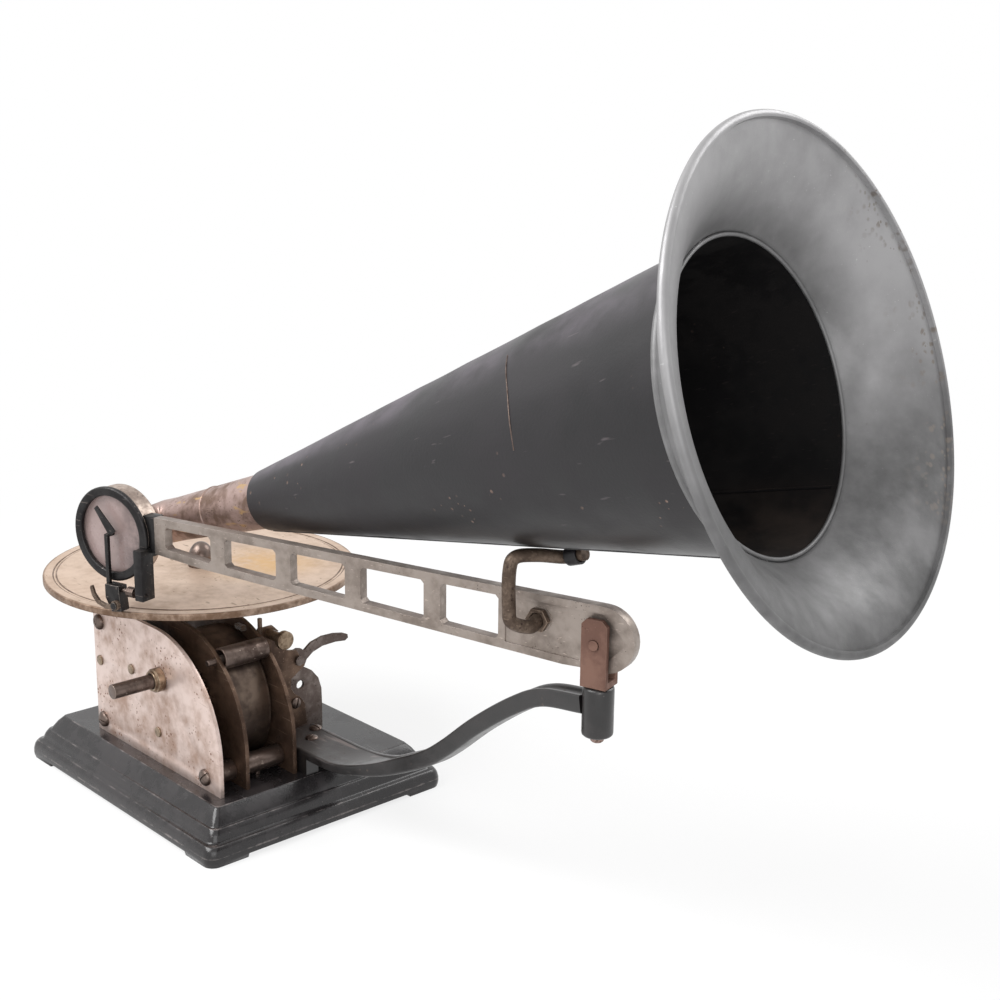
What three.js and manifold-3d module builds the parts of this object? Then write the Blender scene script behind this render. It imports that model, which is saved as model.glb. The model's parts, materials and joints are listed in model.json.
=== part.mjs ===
// Small disc phonograph: spring motor on a moulded plinth, swinging truss arm, sound box and outside horn.
// Millimetres, +Z up. Pieces are placed with the spindle on the Z axis and +X pointing to the arm's post.
import * as THREE from 'three';
import { mergeVertices } from 'three/addons/utils/BufferGeometryUtils.js';
import Module from 'manifold-3d';

const wasm = await Module();
wasm.setup();

// Fits and cutting allowances
const gap = 0.3;
const overrun = 2;

// Turntable, spindle and its bearings
const turntableRadius = 88.9;
const turntableTopZ = 117.1;
const turntableEdge = 3.8;
const turntableDish = 1.4;
const rimChamfer = 0.5;
const hubRadius = 14;
const hubLength = 6.5;
const spindleRadius = 3.5;
const spindleShoulderRadius = 6;
const spindleShoulderLength = 2.6;
const spindleTenon = 6.5;
const knobRadius = 7.3;
const knobHeight = 14;
const knobSkirt = 4.5;
const knobSeat = 0.6;
const rimGrooveInset = 5.6;
const rimGrooveWidth = 2.2;
const rimGrooveDepth = 0.35;
const footBearingRadius = 8.6;
const footBearingHeight = 8;
const spindleFootDepth = 4;
const bridgeZ = 96;
const bridgeThick = 4;
const bridgeWidth = 18;
const bridgeFlange = 3;
const bridgeFlangeHeight = 14;
const bridgeOvershoot = 8;
const bridgeRivetX = 5;
const bridgeRivetZ = 88.5;

// Plinth: the slab's edges, and the moulding's outset from them
const slabBackX = -51.2;
const slabFrontMargin = 7.4;
const slabLeftY = -66.5;
const slabRightY = 60.2;
const slabTopZ = 25.6;
const slabThick = 5;
const plinthWall = 5.5;
const mouldingOutset = 14.8;
const cornerRadius = 2.2;
const cornerGrowth = 0.28;
const footHeight = 2.2;
const footLength = 24;
const slotMargin = 3;
const mouldingShares = [[0.96, 0], [1, 0.086], [1, 0.2], [0.95, 0.336], [0.85, 0.414], [0.76, 0.426],
  [0.69, 0.453], [0.62, 0.578], [0.5, 0.68], [0.42, 0.68], [0.38, 0.727], [0.2, 0.88], [0.05, 0.969], [0, 1]];

// Motor plates
const plateThick = 2.2;
const plateBackX = -21.2;
const plateFrontMargin = 14.1;
const plateTopZ = 103.8;
const plateCurveMargin = 2.8;
const spindleToPlate = 10.6;
const wideBay = 28.2;
const narrowBay = 13.9;

// Pillars and screws between the plates
const pillarRadius = 5.8;
const spacerRadius = 4.3;
const tenonRadius = 1.8;
const studLength = 5;
const pillarBackX = -14.4;
const pillarHighZ = 91.9;
const pillarLowZ = 33;
const frontPillarClearance = 4.16;
const spacerClearance = 0.5;
const spacerAngle = 47.5;
const plateScrewHead = 4.6;
const plateScrewHeight = 3;
const screwHeadRadius = 3.2;
const screwHeadHeight = 2;
const screwShankRadius = 1.5;
const screwDepth = 5;
const slotWidth = 0.9;
const slotDepth = 0.8;
const holdDownRadius = 1.7;
const holdDownHead = 4;
const holdDownHeadHeight = 2.2;
const holdDownDepth = 4;

// Spring barrel, its arbor and the winding work
const barrelRadius = 39;
const barrelWall = 1.4;
const barrelEndGap = 1.3;
const coverThick = 1.2;
const coverInset = 0.6;
const barrelHubRadius = 6.3;
const arborRadius = 4;
const arborJournal = 3;
const arborCore = 7;
const springTurns = 3;
const springInner = 9;
const springThick = 2;
const windingRise = 18;
const windingReach = 29.1;
const windingShaftRadius = 4;
const bushingRadius = 6.6;
const bushingLength = 6;
const bushingLipRadius = 5.6;
const bushingLipLength = 1.6;
const bushingSpigot = 5;
const ratchetTeeth = 12;
const ratchetRadius = 9.6;
const ratchetDepth = 1.8;
const ratchetThick = 1.5;
const pawlStudBack = 4.2;
const pawlStudDrop = 14;
const pawlStudRadius = 1.3;
const pawlHubRadius = 3.2;
const pawlRootWidth = 2.6;
const pawlNoseWidth = 1;

// Gear train: teeth, module and widths
const greatWheelInset = 12;
const secondModule = 1.25;
const governorModule = 1;
const greatTeeth = 36;
const secondPinionTeeth = 9;
const secondWheelTeeth = 40;
const thirdPinionTeeth = 16;
const governorWheelTeeth = 33;
const governorPinionTeeth = 8;
const windingPinionTeeth = 10;
const windingWheelTeeth = 20;
const crossedTeeth = 10;
const crossedLength = 10;
const crossedRadius = 7.8;
const thirdArborZ = 68.5;
const greatWheelThick = 3.4;
const secondWheelThick = 2.2;
const windingWheelThick = 3;
const governorWheelThick = 2.4;
const trainArborRadius = 2.4;
const pivotRadius = 1.9;
const governorPivotRadius = 1.2;
const layerGap = 0.5;
const blindDepth = 1.4;
const secondArborAngle = 153.9;
const thirdArborAngle = 187.2;
const governorAngle = -60;
const addendumShare = 0.8;
const dedendumShare = 1.05;
const toothRootShare = 0.23;
const toothTipShare = 0.11;

// Governor and its brake
const governorShaftRadius = 1.5;
const governorDiscRadius = 11;
const governorDiscThick = 1.6;
const governorDiscY = -17.6;
const governorCollarRadius = 3.8;
const governorCollarLength = 3;
const governorCollarY = -33.5;
const governorBallRadius = 2.8;
const governorBow = 4.4;
const governorLeafWidth = 3;
const governorLeafThick = 0.7;
const leafShares = [0, 0.15, 0.5, 0.85, 1];
const brakeLeafThick = 0.8;
const brakeLeafWidth = 6;
const brakeLeafLength = 26;
const brakePadSize = 4;
const brakePadOffset = 7.4;

// Speed and stop controls beside the right plate
const speedFrontReach = 20.6;
const speedPlateThick = 1.4;
const stopLeverThick = 1.5;
const controlThick = 1.8;
const controlReach = 46.2;
const controlHeight = 43.2;
const controlHoleRadius = 2.6;
const controlHoleY = 20.6;
const controlHoleZ = 57.2;
const controlFlange = 13.8;
const controlRivetRadius = 1.4;
const controlRivetReach = 8.6;
const controlRivetLowZ = 36;
const controlRivetHighZ = 58;
const controlShares = [[0, 0], [1, 0], [1, 0.42], [0.995, 0.6], [0.95, 0.76], [0.85, 0.89], [0.74, 0.965], [0.6, 1],
  [0, 1]];
const stopRivetY = 17.6;
const stopRivetZ = 73.6;
const stopRivetRadius = 1.8;
const stopRivetHead = 2.9;
const stopRivetHeadThick = 0.9;
const stopLobeRadius = 6.6;
const stopHandleLength = 36;
const stopHandleRise = 9.6;
const stopHandleShares = [[0.1, 0.35], [0.27, 0.82], [0.49, 1.02], [0.72, 1], [0.9, 0.87], [0.99, 0.72],
  [1, 0.5], [0.94, 0.36], [0.75, 0.45], [0.49, 0.42], [0.3, 0.2], [0.12, -0.3]];
const speedPlateLeftY = -9.3;
const speedPlateWidth = 31.5;
const speedPlateFootZ = 33.4;
const speedPlateHeight = 65;
const speedPlateShares = [[0, 0], [0.73, 0], [1, 0.014], [0.98, 0.126], [0.965, 0.21], [0.86, 0.28], [0.73, 0.33],
  [0.66, 0.39], [0.68, 0.47], [0.98, 0.56], [0.8, 0.72], [0.6, 0.74], [0.29, 0.885], [0.425, 0.94], [0.3, 1], [0, 1]];
const speedPlateScrewY = 14.6;
const speedPlateScrewZ = 48.7;
const speedPinY = -7.6;
const speedPinRadius = 1.3;
const speedPinHeight = 5.6;
const speedPinRoot = 3;
const speedScrewY = -2.4;
const speedScrewDrop = 4;
const speedScrewStem = 1.9;
const speedScrewLength = 13.2;
const speedScrewTail = 6;
const speedScrewHead = 5.2;
const speedScrewHeadThick = 3.2;
const speedScrewCollar = 2.9;
const feltReach = 11.1;
const feltLength = 7.4;
const feltWidth = 3.2;
const feltHeight = 3;
const feltLift = 0.7;

// Iron bracket that carries the arm
const pivotX = 312.1;
const pivotY = 6.1;
const bossRadius = 7.2;
const bossTopZ = 133.3;
const bossFootZ = 110;
const bossChamfer = 1.2;
const bracketRootInset = 33;
const bracketRootY = 5.4;
const bracketRootZ = 36.2;
const bracketEndX = 306.5;
const bracketEndZ = 124;
const bracketRootWidth = 28.6;
const bracketBarWidth = 12;
const bracketRootThick = 4.6;
const bracketBarThick = 8.6;
const bracketTaperX = 128;
const bracketNarrowX = 186;
const bracketStations = 18;
const bracketRib = 2.6;
const bracketRibDepth = 1.2;
const bracketRootRib = 0.2;
const bracketPadInset = 31;
const bracketPadLength = 19.5;
const bracketPadLowY = 1;
const bracketPadHighY = 19.6;
const bracketLegInset = 9.2;
const bracketLegLength = 8.2;
const bracketLegY = -8.9;
const bracketLegWidth = 7.9;
const bracketScrewInset = 16.5;
const bracketScrewY = 6.2;
const bracketScrewSpread = 9.6;
const bracketScrewRadius = 3.6;
const bracketScrewShank = 2;
const bracketScrewDepth = 4;
const bracketShares = [[0, 0], [0.13, 0.003], [0.243, 0.015], [0.354, 0.083], [0.4425, 0.18], [0.531, 0.3],
  [0.597, 0.424], [0.695, 0.636], [0.805, 0.838], [0.889, 0.95], [1, 1]];

// Yoke that turns in the boss, and its pin
const yokeStemRadius = 2.3;
const yokeHalfLength = 6.4;
const yokeSlot = 6.6;
const yokeCheek = 2.7;
const yokeWebThick = 3;
const yokeTopZ = 165.4;
const yokeChamfer = 2.6;
const yokePinZ = 153.7;
const yokePinRadius = 2.2;
const yokePinHead = 3;
const yokePinHeadThick = 0.8;
const brassRadius = 3.1;
const brassLength = 2.7;
const brassSpigotRadius = 1.2;
const brassSpigotLength = 4;

// Truss arm, from the yoke's axis towards the sound box
const armTurnAngle = 16;
const armThick = 5.6;
const armTopZ = 171;
const armEndRadius = 15.2;
const armEndOffset = 3;
const armTipX = -258.2;
const armTipDepth = 19.4;
const armKneeX = -226;
const armKneeDepth = 22.2;
const armHeelX = -17;
const armHeelDepth = 30.3;
const armTopRail = 4.2;
const armFootRail = 4;
const armStrut = 9;
const armWindowCorner = 1.6;
const armFirstWindowX = -251;
const armLastWindowX = -50.5;
const armRecessMargin = 3.6;
const armRecessDepth = 0.8;
const armStrutShares = [0.175, 0.384, 0.594, 0.82];

// Bent rod that steadies the horn, and its keeper on the horn
const rodRadius = 3.1;
const rodNutX = -28.9;
const rodNutZ = 159.7;
const rodNutRadius = 5.8;
const rodNutThick = 3;
const rodOutset = 16.5;
const rodUprightX = -36.8;
const rodLowZ = 157.8;
const rodShoulderDrop = 6.3;
const rodCrestClearance = 1.83;
const rodTipReach = 188.9;
const rodTipSide = 1.4;
const rodTipClearance = 3.78;
const rodTipRun = 13;
const rodDipShare = 0.66;
const rodCrestShare = 0.86;
const rodReturnShare = 0.42;
const keeperRadius = 4.5;
const keeperBehindTip = 2.5;
const keeperLength = 6.6;
const keeperWebWidth = 3.2;

// Horn, along its own axis from the narrow end
const hornX = -202.6;
const hornY = 24.1;
const hornZ = 183;
const hornTurnAngle = -7.4;
const hornTiltAngle = 18;
const hornWall = 1;
const hornNarrowRadius = 15.9;
const hornThroatRadius = 64.7;
const hornConeLength = 291.6;
const bellRadius = 105.2;
const bellDepth = 29;
const bellBead = 2.2;
const bellCollar = 4;
const bellFlare = 1.8;
const flareShares = [0, 0.18, 0.4, 0.64, 0.85];
const beadTurns = [265, 335, 35, 100];

// Flared elbow between the sound box and the horn
const elbowWall = 1;
const elbowNeckRadius = 8.4;
const elbowBendRadius = 10.8;
const elbowMouthRadius = 14.4;
const elbowSpigot = 12;
const elbowBendRun = 17;
const elbowNeckDepth = 1.8;
const bendShares = [0, 0.17, 0.34, 0.5, 0.66, 0.83, 1];

// Sound box, centred at the arm's tip
const boxX = -287;
const boxZ = 158.3;
const boxRadius = 24.6;
const boxRingRadius = 25.4;
const boxRingInner = 20.6;
const boxRingThick = 2.6;
const boxFrontY = -6;
const boxBackY = 7;
const boxWall = 1.8;
const boxBackWall = 2.4;
const boxCollarRadius = 11.4;
const boxCollarLength = 3;
const boxEdge = 0.6;
const boxBlockLeftX = -272;
const boxBlockLowY = -2.6;
const boxBlockHighY = 5;
const boxLugLeftX = -266.6;
const boxLugRightX = -261;
const boxLugLowZ = 126.6;
const boxLugHighZ = 154;
const boxLugFrontY = -10.4;
const boxLugBackY = -3.1;
const diaphragmThick = 0.6;
const diaphragmRadius = 22.4;
const diaphragmSet = 0.4;

// Stylus bar, needle holder and needle lever
const stylusAxisY = -7.8;
const stylusAxisZ = 129.9;
const stylusBarWidth = 2.2;
const stylusBarThick = 1.9;
const stylusBarTopZ = 159;
const stylusPeenRadius = 1.2;
const stylusPeenClear = 0.6;
const leafRootX = -283.4;
const leafRootZ = 159.4;
const leafTipX = -294.6;
const leafTipZ = 172.4;
const leafRootWidth = 5.4;
const leafTipWidth = 2.6;
const leafThick = 0.7;
const holderRightX = -277.6;
const holderWidth = 9.6;
const holderThick = 6.2;
const holderTopZ = 132.4;
const holderFootZ = 117.9;
const holderShares = [[0, 1], [0, 0.5], [0.42, 0], [1.12, 0.07], [1.04, 0.55], [1, 1]];
const pivotScrewRadius = 1.2;
const pivotScrewTip = 3;
const pivotNutRadius = 2.9;
const pivotNutLeftX = -273;
const pivotNutRightX = -268.4;
const leverPinX = -278.8;
const leverPinZ = 122.4;
const leverPinRadius = 1.1;
const leverPinHead = 2;
const leverPinHeadThick = 0.7;
const leverEyeRadius = 2.7;
const leverThick = 2;
const leverSpan = 21;
const leverRise = 10.6;
const leverShares = [[0, 0.1], [0.3, -0.06], [0.62, 0.08], [0.86, 0.5], [0.96, 0.92], [0.99, 1.02], [1.06, 1],
  [1.08, 0.84], [0.99, 0.36], [0.72, -0.12], [0.3, -0.26], [0, -0.23]];

// Sides of round pieces
const turntableSides = 44;
const barrelSides = 32;
const hornSides = 36;
const boxSides = 24;
const roundSides = 14;
const smallSides = 10;

const degrees = Math.PI / 180;

// Places that follow from the sizes above
const rightInnerY = -spindleToPlate - plateThick;
const middleRightY = rightInnerY - wideBay;
const middleLeftY = middleRightY - plateThick;
const leftInnerY = middleLeftY - narrowBay;
const leftOuterY = leftInnerY - plateThick;
const slabFootZ = slabTopZ - slabThick;
const barrelLeftY = middleRightY + barrelEndGap;
const barrelRightY = rightInnerY - barrelEndGap;

// Layers of the train in the narrow bay, from the left plate to the middle plate, then the governor wheel's
const windingLayerY = leftInnerY + layerGap + windingWheelThick / 2;
const ratchetLayerY = windingLayerY + windingWheelThick / 2 + layerGap + ratchetThick / 2;
const secondLayerY = ratchetLayerY + ratchetThick / 2 + layerGap + secondWheelThick / 2;
const greatLayerY = middleLeftY - layerGap - greatWheelThick / 2;
const governorLayerY = middleRightY + layerGap * 2 + governorWheelThick / 2;

// Pitch radii and arbor centres
const greatRadius = barrelRadius - greatWheelInset;
const greatModule = 2 * greatRadius / greatTeeth;
const secondPinionRadius = secondPinionTeeth * greatModule / 2;
const secondWheelRadius = secondWheelTeeth * secondModule / 2;
const thirdPinionRadius = thirdPinionTeeth * secondModule / 2;
const governorWheelRadius = governorWheelTeeth * governorModule / 2;
const governorPinionRadius = governorPinionTeeth * governorModule / 2;
const windingWheelRadius = windingRise * windingWheelTeeth / (windingWheelTeeth + windingPinionTeeth);
const windingPinionRadius = windingRise - windingWheelRadius;
const thirdArbor = [-2 * crossedRadius, thirdArborZ];
const secondArbor = around(...thirdArbor, -secondWheelRadius - thirdPinionRadius, thirdArborAngle);
const [barrelX, barrelZ] = around(...secondArbor, -greatRadius - secondPinionRadius, secondArborAngle);
const governorArbor = around(...thirdArbor, governorWheelRadius + governorPinionRadius, governorAngle);
const windingCentre = [barrelX, barrelZ + windingRise];
const pawlStud = [barrelX - pawlStudBack, barrelZ - pawlStudDrop];

// Pillars round the barrel, and the plate's and the slab's front edges beyond them
const spacerPlace = around(barrelX, barrelZ, barrelRadius + spacerRadius + spacerClearance, spacerAngle);
const frontPillarReach = barrelRadius + pillarRadius + frontPillarClearance;
const pillarFrontX = barrelX + Math.sqrt(frontPillarReach ** 2 - (barrelZ - pillarLowZ) ** 2);
const plateFrontX = pillarFrontX + plateFrontMargin;
const slabFrontX = plateFrontX + slabFrontMargin;
const spacerInset = plateFrontX - spacerPlace[0];
const spacerDepth = plateTopZ - spacerPlace[1];
const curveReach = spacerInset + spacerDepth - plateCurveMargin;
const curveRoom = spacerInset ** 2 + spacerDepth ** 2 - plateCurveMargin ** 2;
const plateCurve = curveReach + Math.sqrt(curveReach ** 2 - curveRoom);
const bracketRootX = slabFrontX - bracketRootInset;
const bracketScrewX = slabFrontX - bracketScrewInset;

// Controls in front of the barrel's centre
const speedFrontX = barrelX + speedFrontReach;
const controlRivetX = barrelX + controlRivetReach;
const feltX = barrelX + feltReach;

function around(x, z, distance, angle) {
  return [x + distance * Math.cos(angle * degrees), z + distance * Math.sin(angle * degrees)];
}

// A closed mesh as a solid that can be joined and cut
function solid(geometry) {
  const bare = geometry.clone();
  bare.deleteAttribute('normal');
  bare.deleteAttribute('uv');
  const merged = mergeVertices(bare);
  const corners = merged.index.array;
  const faces = [];
  for (let i = 0; i < corners.length; i += 3) {
    const [a, b, c] = [corners[i], corners[i + 1], corners[i + 2]];
    if (a !== b && b !== c && c !== a) faces.push(a, b, c);
  }
  return new wasm.Manifold(new wasm.Mesh({
    numProp: 3,
    vertProperties: new Float32Array(merged.attributes.position.array),
    triVerts: new Uint32Array(faces),
  }));
}

function surface(body) {
  const mesh = body.getMesh();
  const geometry = new THREE.BufferGeometry();
  geometry.setAttribute('position', new THREE.BufferAttribute(mesh.vertProperties, 3));
  geometry.setIndex(new THREE.BufferAttribute(mesh.triVerts, 1));
  geometry.computeVertexNormals();
  return geometry;
}

function joined(bodies) {
  return bodies.reduce((sum, body) => sum.add(body));
}

// Lays a geometry that stands along Y along another axis
function layAlong(geometry, axis) {
  if (axis === 'x') geometry.rotateZ(-90 * degrees);
  if (axis === 'z') geometry.rotateX(90 * degrees);
  return geometry;
}

// A round bar along an axis from one place to another, at the two other coordinates
function bar(axis, radius, from, to, [u, v], sides = roundSides) {
  const geometry = layAlong(new THREE.CylinderGeometry(radius, radius, to - from, sides), axis);
  const middle = (from + to) / 2;
  if (axis === 'x') geometry.translate(middle, u, v);
  if (axis === 'y') geometry.translate(u, middle, v);
  if (axis === 'z') geometry.translate(u, v, middle);
  return solid(geometry);
}

function block([x0, y0, z0], [x1, y1, z1]) {
  const geometry = new THREE.BoxGeometry(x1 - x0, y1 - y0, z1 - z0);
  return solid(geometry.translate((x0 + x1) / 2, (y0 + y1) / 2, (z0 + z1) / 2));
}

// A profile of [radius, distance along the axis] turned about that axis
function turned(profile, axis, sides = roundSides) {
  const points = profile.map(([radius, along]) => new THREE.Vector2(radius, along));
  return solid(layAlong(new THREE.LatheGeometry(points, sides), axis));
}

function outline(points) {
  return new THREE.Shape(points.map(([u, v]) => new THREE.Vector2(u, v)));
}

function roundOutline(radius, sides, u = 0, v = 0) {
  const points = [];
  for (let i = 0; i < sides; i += 1) {
    const angle = 2 * Math.PI * i / sides;
    points.push([u + radius * Math.cos(angle), v + radius * Math.sin(angle)]);
  }
  return outline(points);
}

// An outline in the XZ plane made thick along Y
function plateY(shape, from, to) {
  const geometry = new THREE.ExtrudeGeometry(shape, { depth: to - from, bevelEnabled: false, curveSegments: 9 });
  return solid(geometry.rotateX(90 * degrees).translate(0, to, 0));
}

// An outline in the YZ plane made thick along X
function plateX(shape, from, to) {
  const geometry = new THREE.ExtrudeGeometry(shape, { depth: to - from, bevelEnabled: false, curveSegments: 9 });
  return solid(geometry.rotateY(90 * degrees).rotateX(90 * degrees).translate(from, 0, 0));
}

// A body through rings of points, all of the same count, closed at both ends
function loft(rings) {
  const count = rings[0].length;
  const points = rings.flat();
  const faces = [];
  for (let level = 0; level < rings.length - 1; level += 1) {
    for (let i = 0; i < count; i += 1) {
      const a = level * count + i;
      const b = level * count + (i + 1) % count;
      faces.push(a, b, b + count, a, b + count, a + count);
    }
  }
  const last = (rings.length - 1) * count;
  const flat = rings[0].map((point) => point.clone());
  const caps = THREE.ShapeUtils.triangulateShape(facing(flat), []);
  for (const [a, b, c] of caps) faces.push(a, c, b, last + a, last + b, last + c);
  const geometry = new THREE.BufferGeometry().setFromPoints(points);
  geometry.setIndex(faces);
  return solid(geometry);
}

// The same ring seen square on, in two dimensions
function facing(ring) {
  const normal = new THREE.Vector3();
  ring.forEach((point, i) => normal.add(point.clone().cross(ring[(i + 1) % ring.length])));
  const turn = new THREE.Quaternion().setFromUnitVectors(normal.normalize(), new THREE.Vector3(0, 0, 1));
  return ring.map((point) => point.applyQuaternion(turn)).map((point) => new THREE.Vector2(point.x, point.y));
}

// A round bar bent along a curve
function bentBar(path, radius, steps) {
  const shape = roundOutline(radius, smallSides);
  return solid(new THREE.ExtrudeGeometry(shape, { steps, extrudePath: path, bevelEnabled: false }));
}

// Gear outline with four points to a tooth and running clearance on the flanks
function gearOutline(teeth, pitchRadius, phase) {
  const module = 2 * pitchRadius / teeth;
  const root = pitchRadius - module * dedendumShare;
  const tip = pitchRadius + module * addendumShare;
  const corners = [[root, -toothRootShare], [tip, -toothTipShare], [tip, toothTipShare], [root, toothRootShare]];
  const points = [];
  for (let tooth = 0; tooth < teeth; tooth += 1) {
    for (const [radius, share] of corners) {
      const angle = phase + (tooth + share) * 2 * Math.PI / teeth;
      points.push([radius * Math.cos(angle), radius * Math.sin(angle)]);
    }
  }
  return outline(points);
}

function gear(teeth, pitchRadius, thick, [x, z], y, phase) {
  return plateY(gearOutline(teeth, pitchRadius, phase), y - thick / 2, y + thick / 2).translate([x, 0, z]);
}

// A gear whose teeth run at 45 degrees: its outline twisted steadily along its length
function crossedGear(phase) {
  const shape = gearOutline(crossedTeeth, crossedRadius, phase);
  const geometry = new THREE.ExtrudeGeometry(shape, { depth: crossedLength, steps: 3, bevelEnabled: false });
  geometry.translate(0, 0, -crossedLength / 2);
  const place = geometry.attributes.position;
  for (let i = 0; i < place.count; i += 1) {
    const twist = place.getZ(i) / crossedRadius;
    const [x, y] = [place.getX(i), place.getY(i)];
    place.setX(i, x * Math.cos(twist) - y * Math.sin(twist));
    place.setY(i, x * Math.sin(twist) + y * Math.cos(twist));
  }
  return geometry;
}

// A screw along Z with a low domed and slotted head above the origin
function domedScrew(headRadius, headHeight, shankRadius, shankLength) {
  const profile = [[0, -shankLength], [shankRadius, -shankLength], [shankRadius, 0]];
  for (const turn of [0, 45]) {
    profile.push([headRadius * Math.cos(turn * degrees), headHeight * Math.sin(turn * degrees)]);
  }
  profile.push([0, headHeight]);
  const slot = new THREE.BoxGeometry(headRadius * 2 + overrun, slotWidth, slotDepth * 2);
  return turned(profile, 'z', smallSides).subtract(solid(slot.translate(0, 0, headHeight)));
}

function material(color, roughness, metalness) {
  return new THREE.MeshStandardMaterial({ color, roughness, metalness });
}

function addPiece(parent, name, body, look) {
  const mesh = new THREE.Mesh(surface(body), look.clone());
  mesh.name = name;
  parent.add(mesh);
  return mesh;
}

// Materials
const blackIron = material(0x1d1b1a, 0.45, 0.6);
const paleNickel = material(0xb7a796, 0.42, 0.85);
const brownNickel = material(0x7d6a5a, 0.5, 0.8);
const darkSteel = material(0x4a443f, 0.45, 0.8);
const bluedSteel = material(0x2b2d33, 0.35, 0.85);
const gearBrass = material(0xa98545, 0.4, 0.85);
const springSteel = material(0x3c4048, 0.35, 0.9);
const platterNickel = material(0xb9ab92, 0.4, 0.75);
const brownFelt = material(0x4a3524, 0.95, 0);
const greySteel = material(0x6a6560, 0.5, 0.8);
const redIron = material(0x73554b, 0.7, 0.3);
const castAluminium = material(0x9a9184, 0.5, 0.7);
const brownRod = material(0x5a4636, 0.5, 0.6);
const oldBrass = material(0x8a6a3a, 0.45, 0.8);
const hornJapan = material(0x1c1a1f, 0.55, 0.1);
const greyTin = material(0x8a8683, 0.42, 0.85);
const gunMetal = material(0x33312f, 0.4, 0.8);
const mica = material(0x9d8c86, 0.35, 0);

const machine = new THREE.Group();

// Plinth: stepped moulding, hollow from below, standing on its four corners
function plinthRing(outset, z) {
  const radius = cornerRadius + outset * cornerGrowth;
  const corners = [[slabFrontX, slabRightY, 0], [slabBackX, slabRightY, 90], [slabBackX, slabLeftY, 180],
    [slabFrontX, slabLeftY, 270]];
  const ring = [];
  for (const [x, y, start] of corners) {
    const [outX, outY] = [Math.sign(x - barrelX) * (outset - radius), Math.sign(y) * (outset - radius)];
    for (const turn of [0, 45, 90]) {
      const angle = (start + turn) * degrees;
      ring.push(new THREE.Vector3(x + outX + radius * Math.cos(angle), y + outY + radius * Math.sin(angle), z));
    }
  }
  return ring;
}

function plinth() {
  const outside = loft(mouldingShares.map(([out, up]) => plinthRing(out * mouldingOutset, up * slabTopZ)));
  const hollow = loft([plinthRing(mouldingOutset - plinthWall, -overrun), plinthRing(-plinthWall, slabFootZ)]);
  const [backX, frontX] = [slabBackX - mouldingOutset, slabFrontX + mouldingOutset];
  const [leftY, rightY] = [slabLeftY - mouldingOutset, slabRightY + mouldingOutset];
  const raised = block([backX + footLength, leftY - overrun, -overrun],
    [frontX - footLength, rightY + overrun, footHeight]).add(
    block([backX - overrun, leftY + footLength, -overrun], [frontX + overrun, rightY - footLength, footHeight]));
  const barrelDip = Math.max(barrelRadius ** 2 - (barrelZ - slabTopZ) ** 2, 0);
  const slotHalf = Math.sqrt(barrelDip) + slotMargin;
  const slot = block([barrelX - slotHalf, barrelLeftY - gap * 2, -overrun],
    [barrelX + slotHalf, barrelRightY + gap * 2, slabTopZ + overrun]);
  const holes = holdDownPlaces.map(([x, y]) => bar('z', holdDownRadius + gap, slabFootZ - overrun,
    slabTopZ + overrun, [x, y], smallSides));
  const taps = bracketScrewPlaces.map(([x, y]) => bar('z', bracketScrewShank + gap,
    slabTopZ - bracketScrewDepth - gap, slabTopZ + overrun, [x, y], smallSides));
  return outside.subtract(joined([hollow, raised, slot, ...holes, ...taps]));
}

const holdDownY = (middleRightY + rightInnerY) / 2;
const holdDownTopZ = pillarLowZ - pillarRadius + holdDownDepth;
const holdDownPlaces = [[pillarBackX, holdDownY], [pillarFrontX, holdDownY]];
const bracketScrewPlaces = [[bracketScrewX, bracketScrewY],
  [bracketScrewX - bracketScrewSpread, bracketScrewY + bracketScrewSpread]];
addPiece(machine, 'base_plinth', plinth(), blackIron);

// Motor plates: upright, with a quarter round at the front
const pillarPlaces = [[pillarBackX, pillarHighZ], [pillarBackX, pillarLowZ], [pillarFrontX, pillarLowZ]];
const pillarNames = ['back_top', 'back_low', 'front_low'];

function motorPlate(leftY, holes) {
  const shape = new THREE.Shape();
  shape.moveTo(plateBackX, slabTopZ);
  shape.lineTo(plateFrontX, slabTopZ);
  shape.absarc(plateFrontX - plateCurve, plateTopZ - plateCurve, plateCurve, 0, Math.PI / 2, false);
  shape.lineTo(plateBackX, plateTopZ);
  for (const [place, radius] of holes) {
    const sides = radius > pillarRadius ? roundSides * 2 : smallSides;
    shape.holes.push(roundOutline(radius, sides, ...place));
  }
  return plateY(shape, leftY, leftY + plateThick);
}

const blindPivot = bar('y', pivotRadius + gap, leftInnerY - blindDepth, leftInnerY + overrun, [barrelX, barrelZ],
  smallSides);
const leftPlate = motorPlate(leftOuterY, [
  ...pillarPlaces.map((place) => [place, screwShankRadius + gap]),
  [windingCentre, bushingSpigot + gap], [secondArbor, pivotRadius + gap], [thirdArbor, pivotRadius + gap]]);
const stud = bar('y', pawlStudRadius, leftInnerY - plateThick / 2, ratchetLayerY + ratchetThick / 2, pawlStud,
  smallSides);
addPiece(machine, 'plate_left', leftPlate.subtract(blindPivot).add(stud), paleNickel);

addPiece(machine, 'plate_middle', motorPlate(middleLeftY, [
  ...pillarPlaces.map((place) => [place, tenonRadius + gap]), [spacerPlace, tenonRadius + gap],
  [[barrelX, barrelZ], barrelHubRadius + gap], [secondArbor, pivotRadius + gap],
  [thirdArbor, trainArborRadius + gap], [governorArbor, governorPivotRadius + gap]]), brownNickel);

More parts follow.
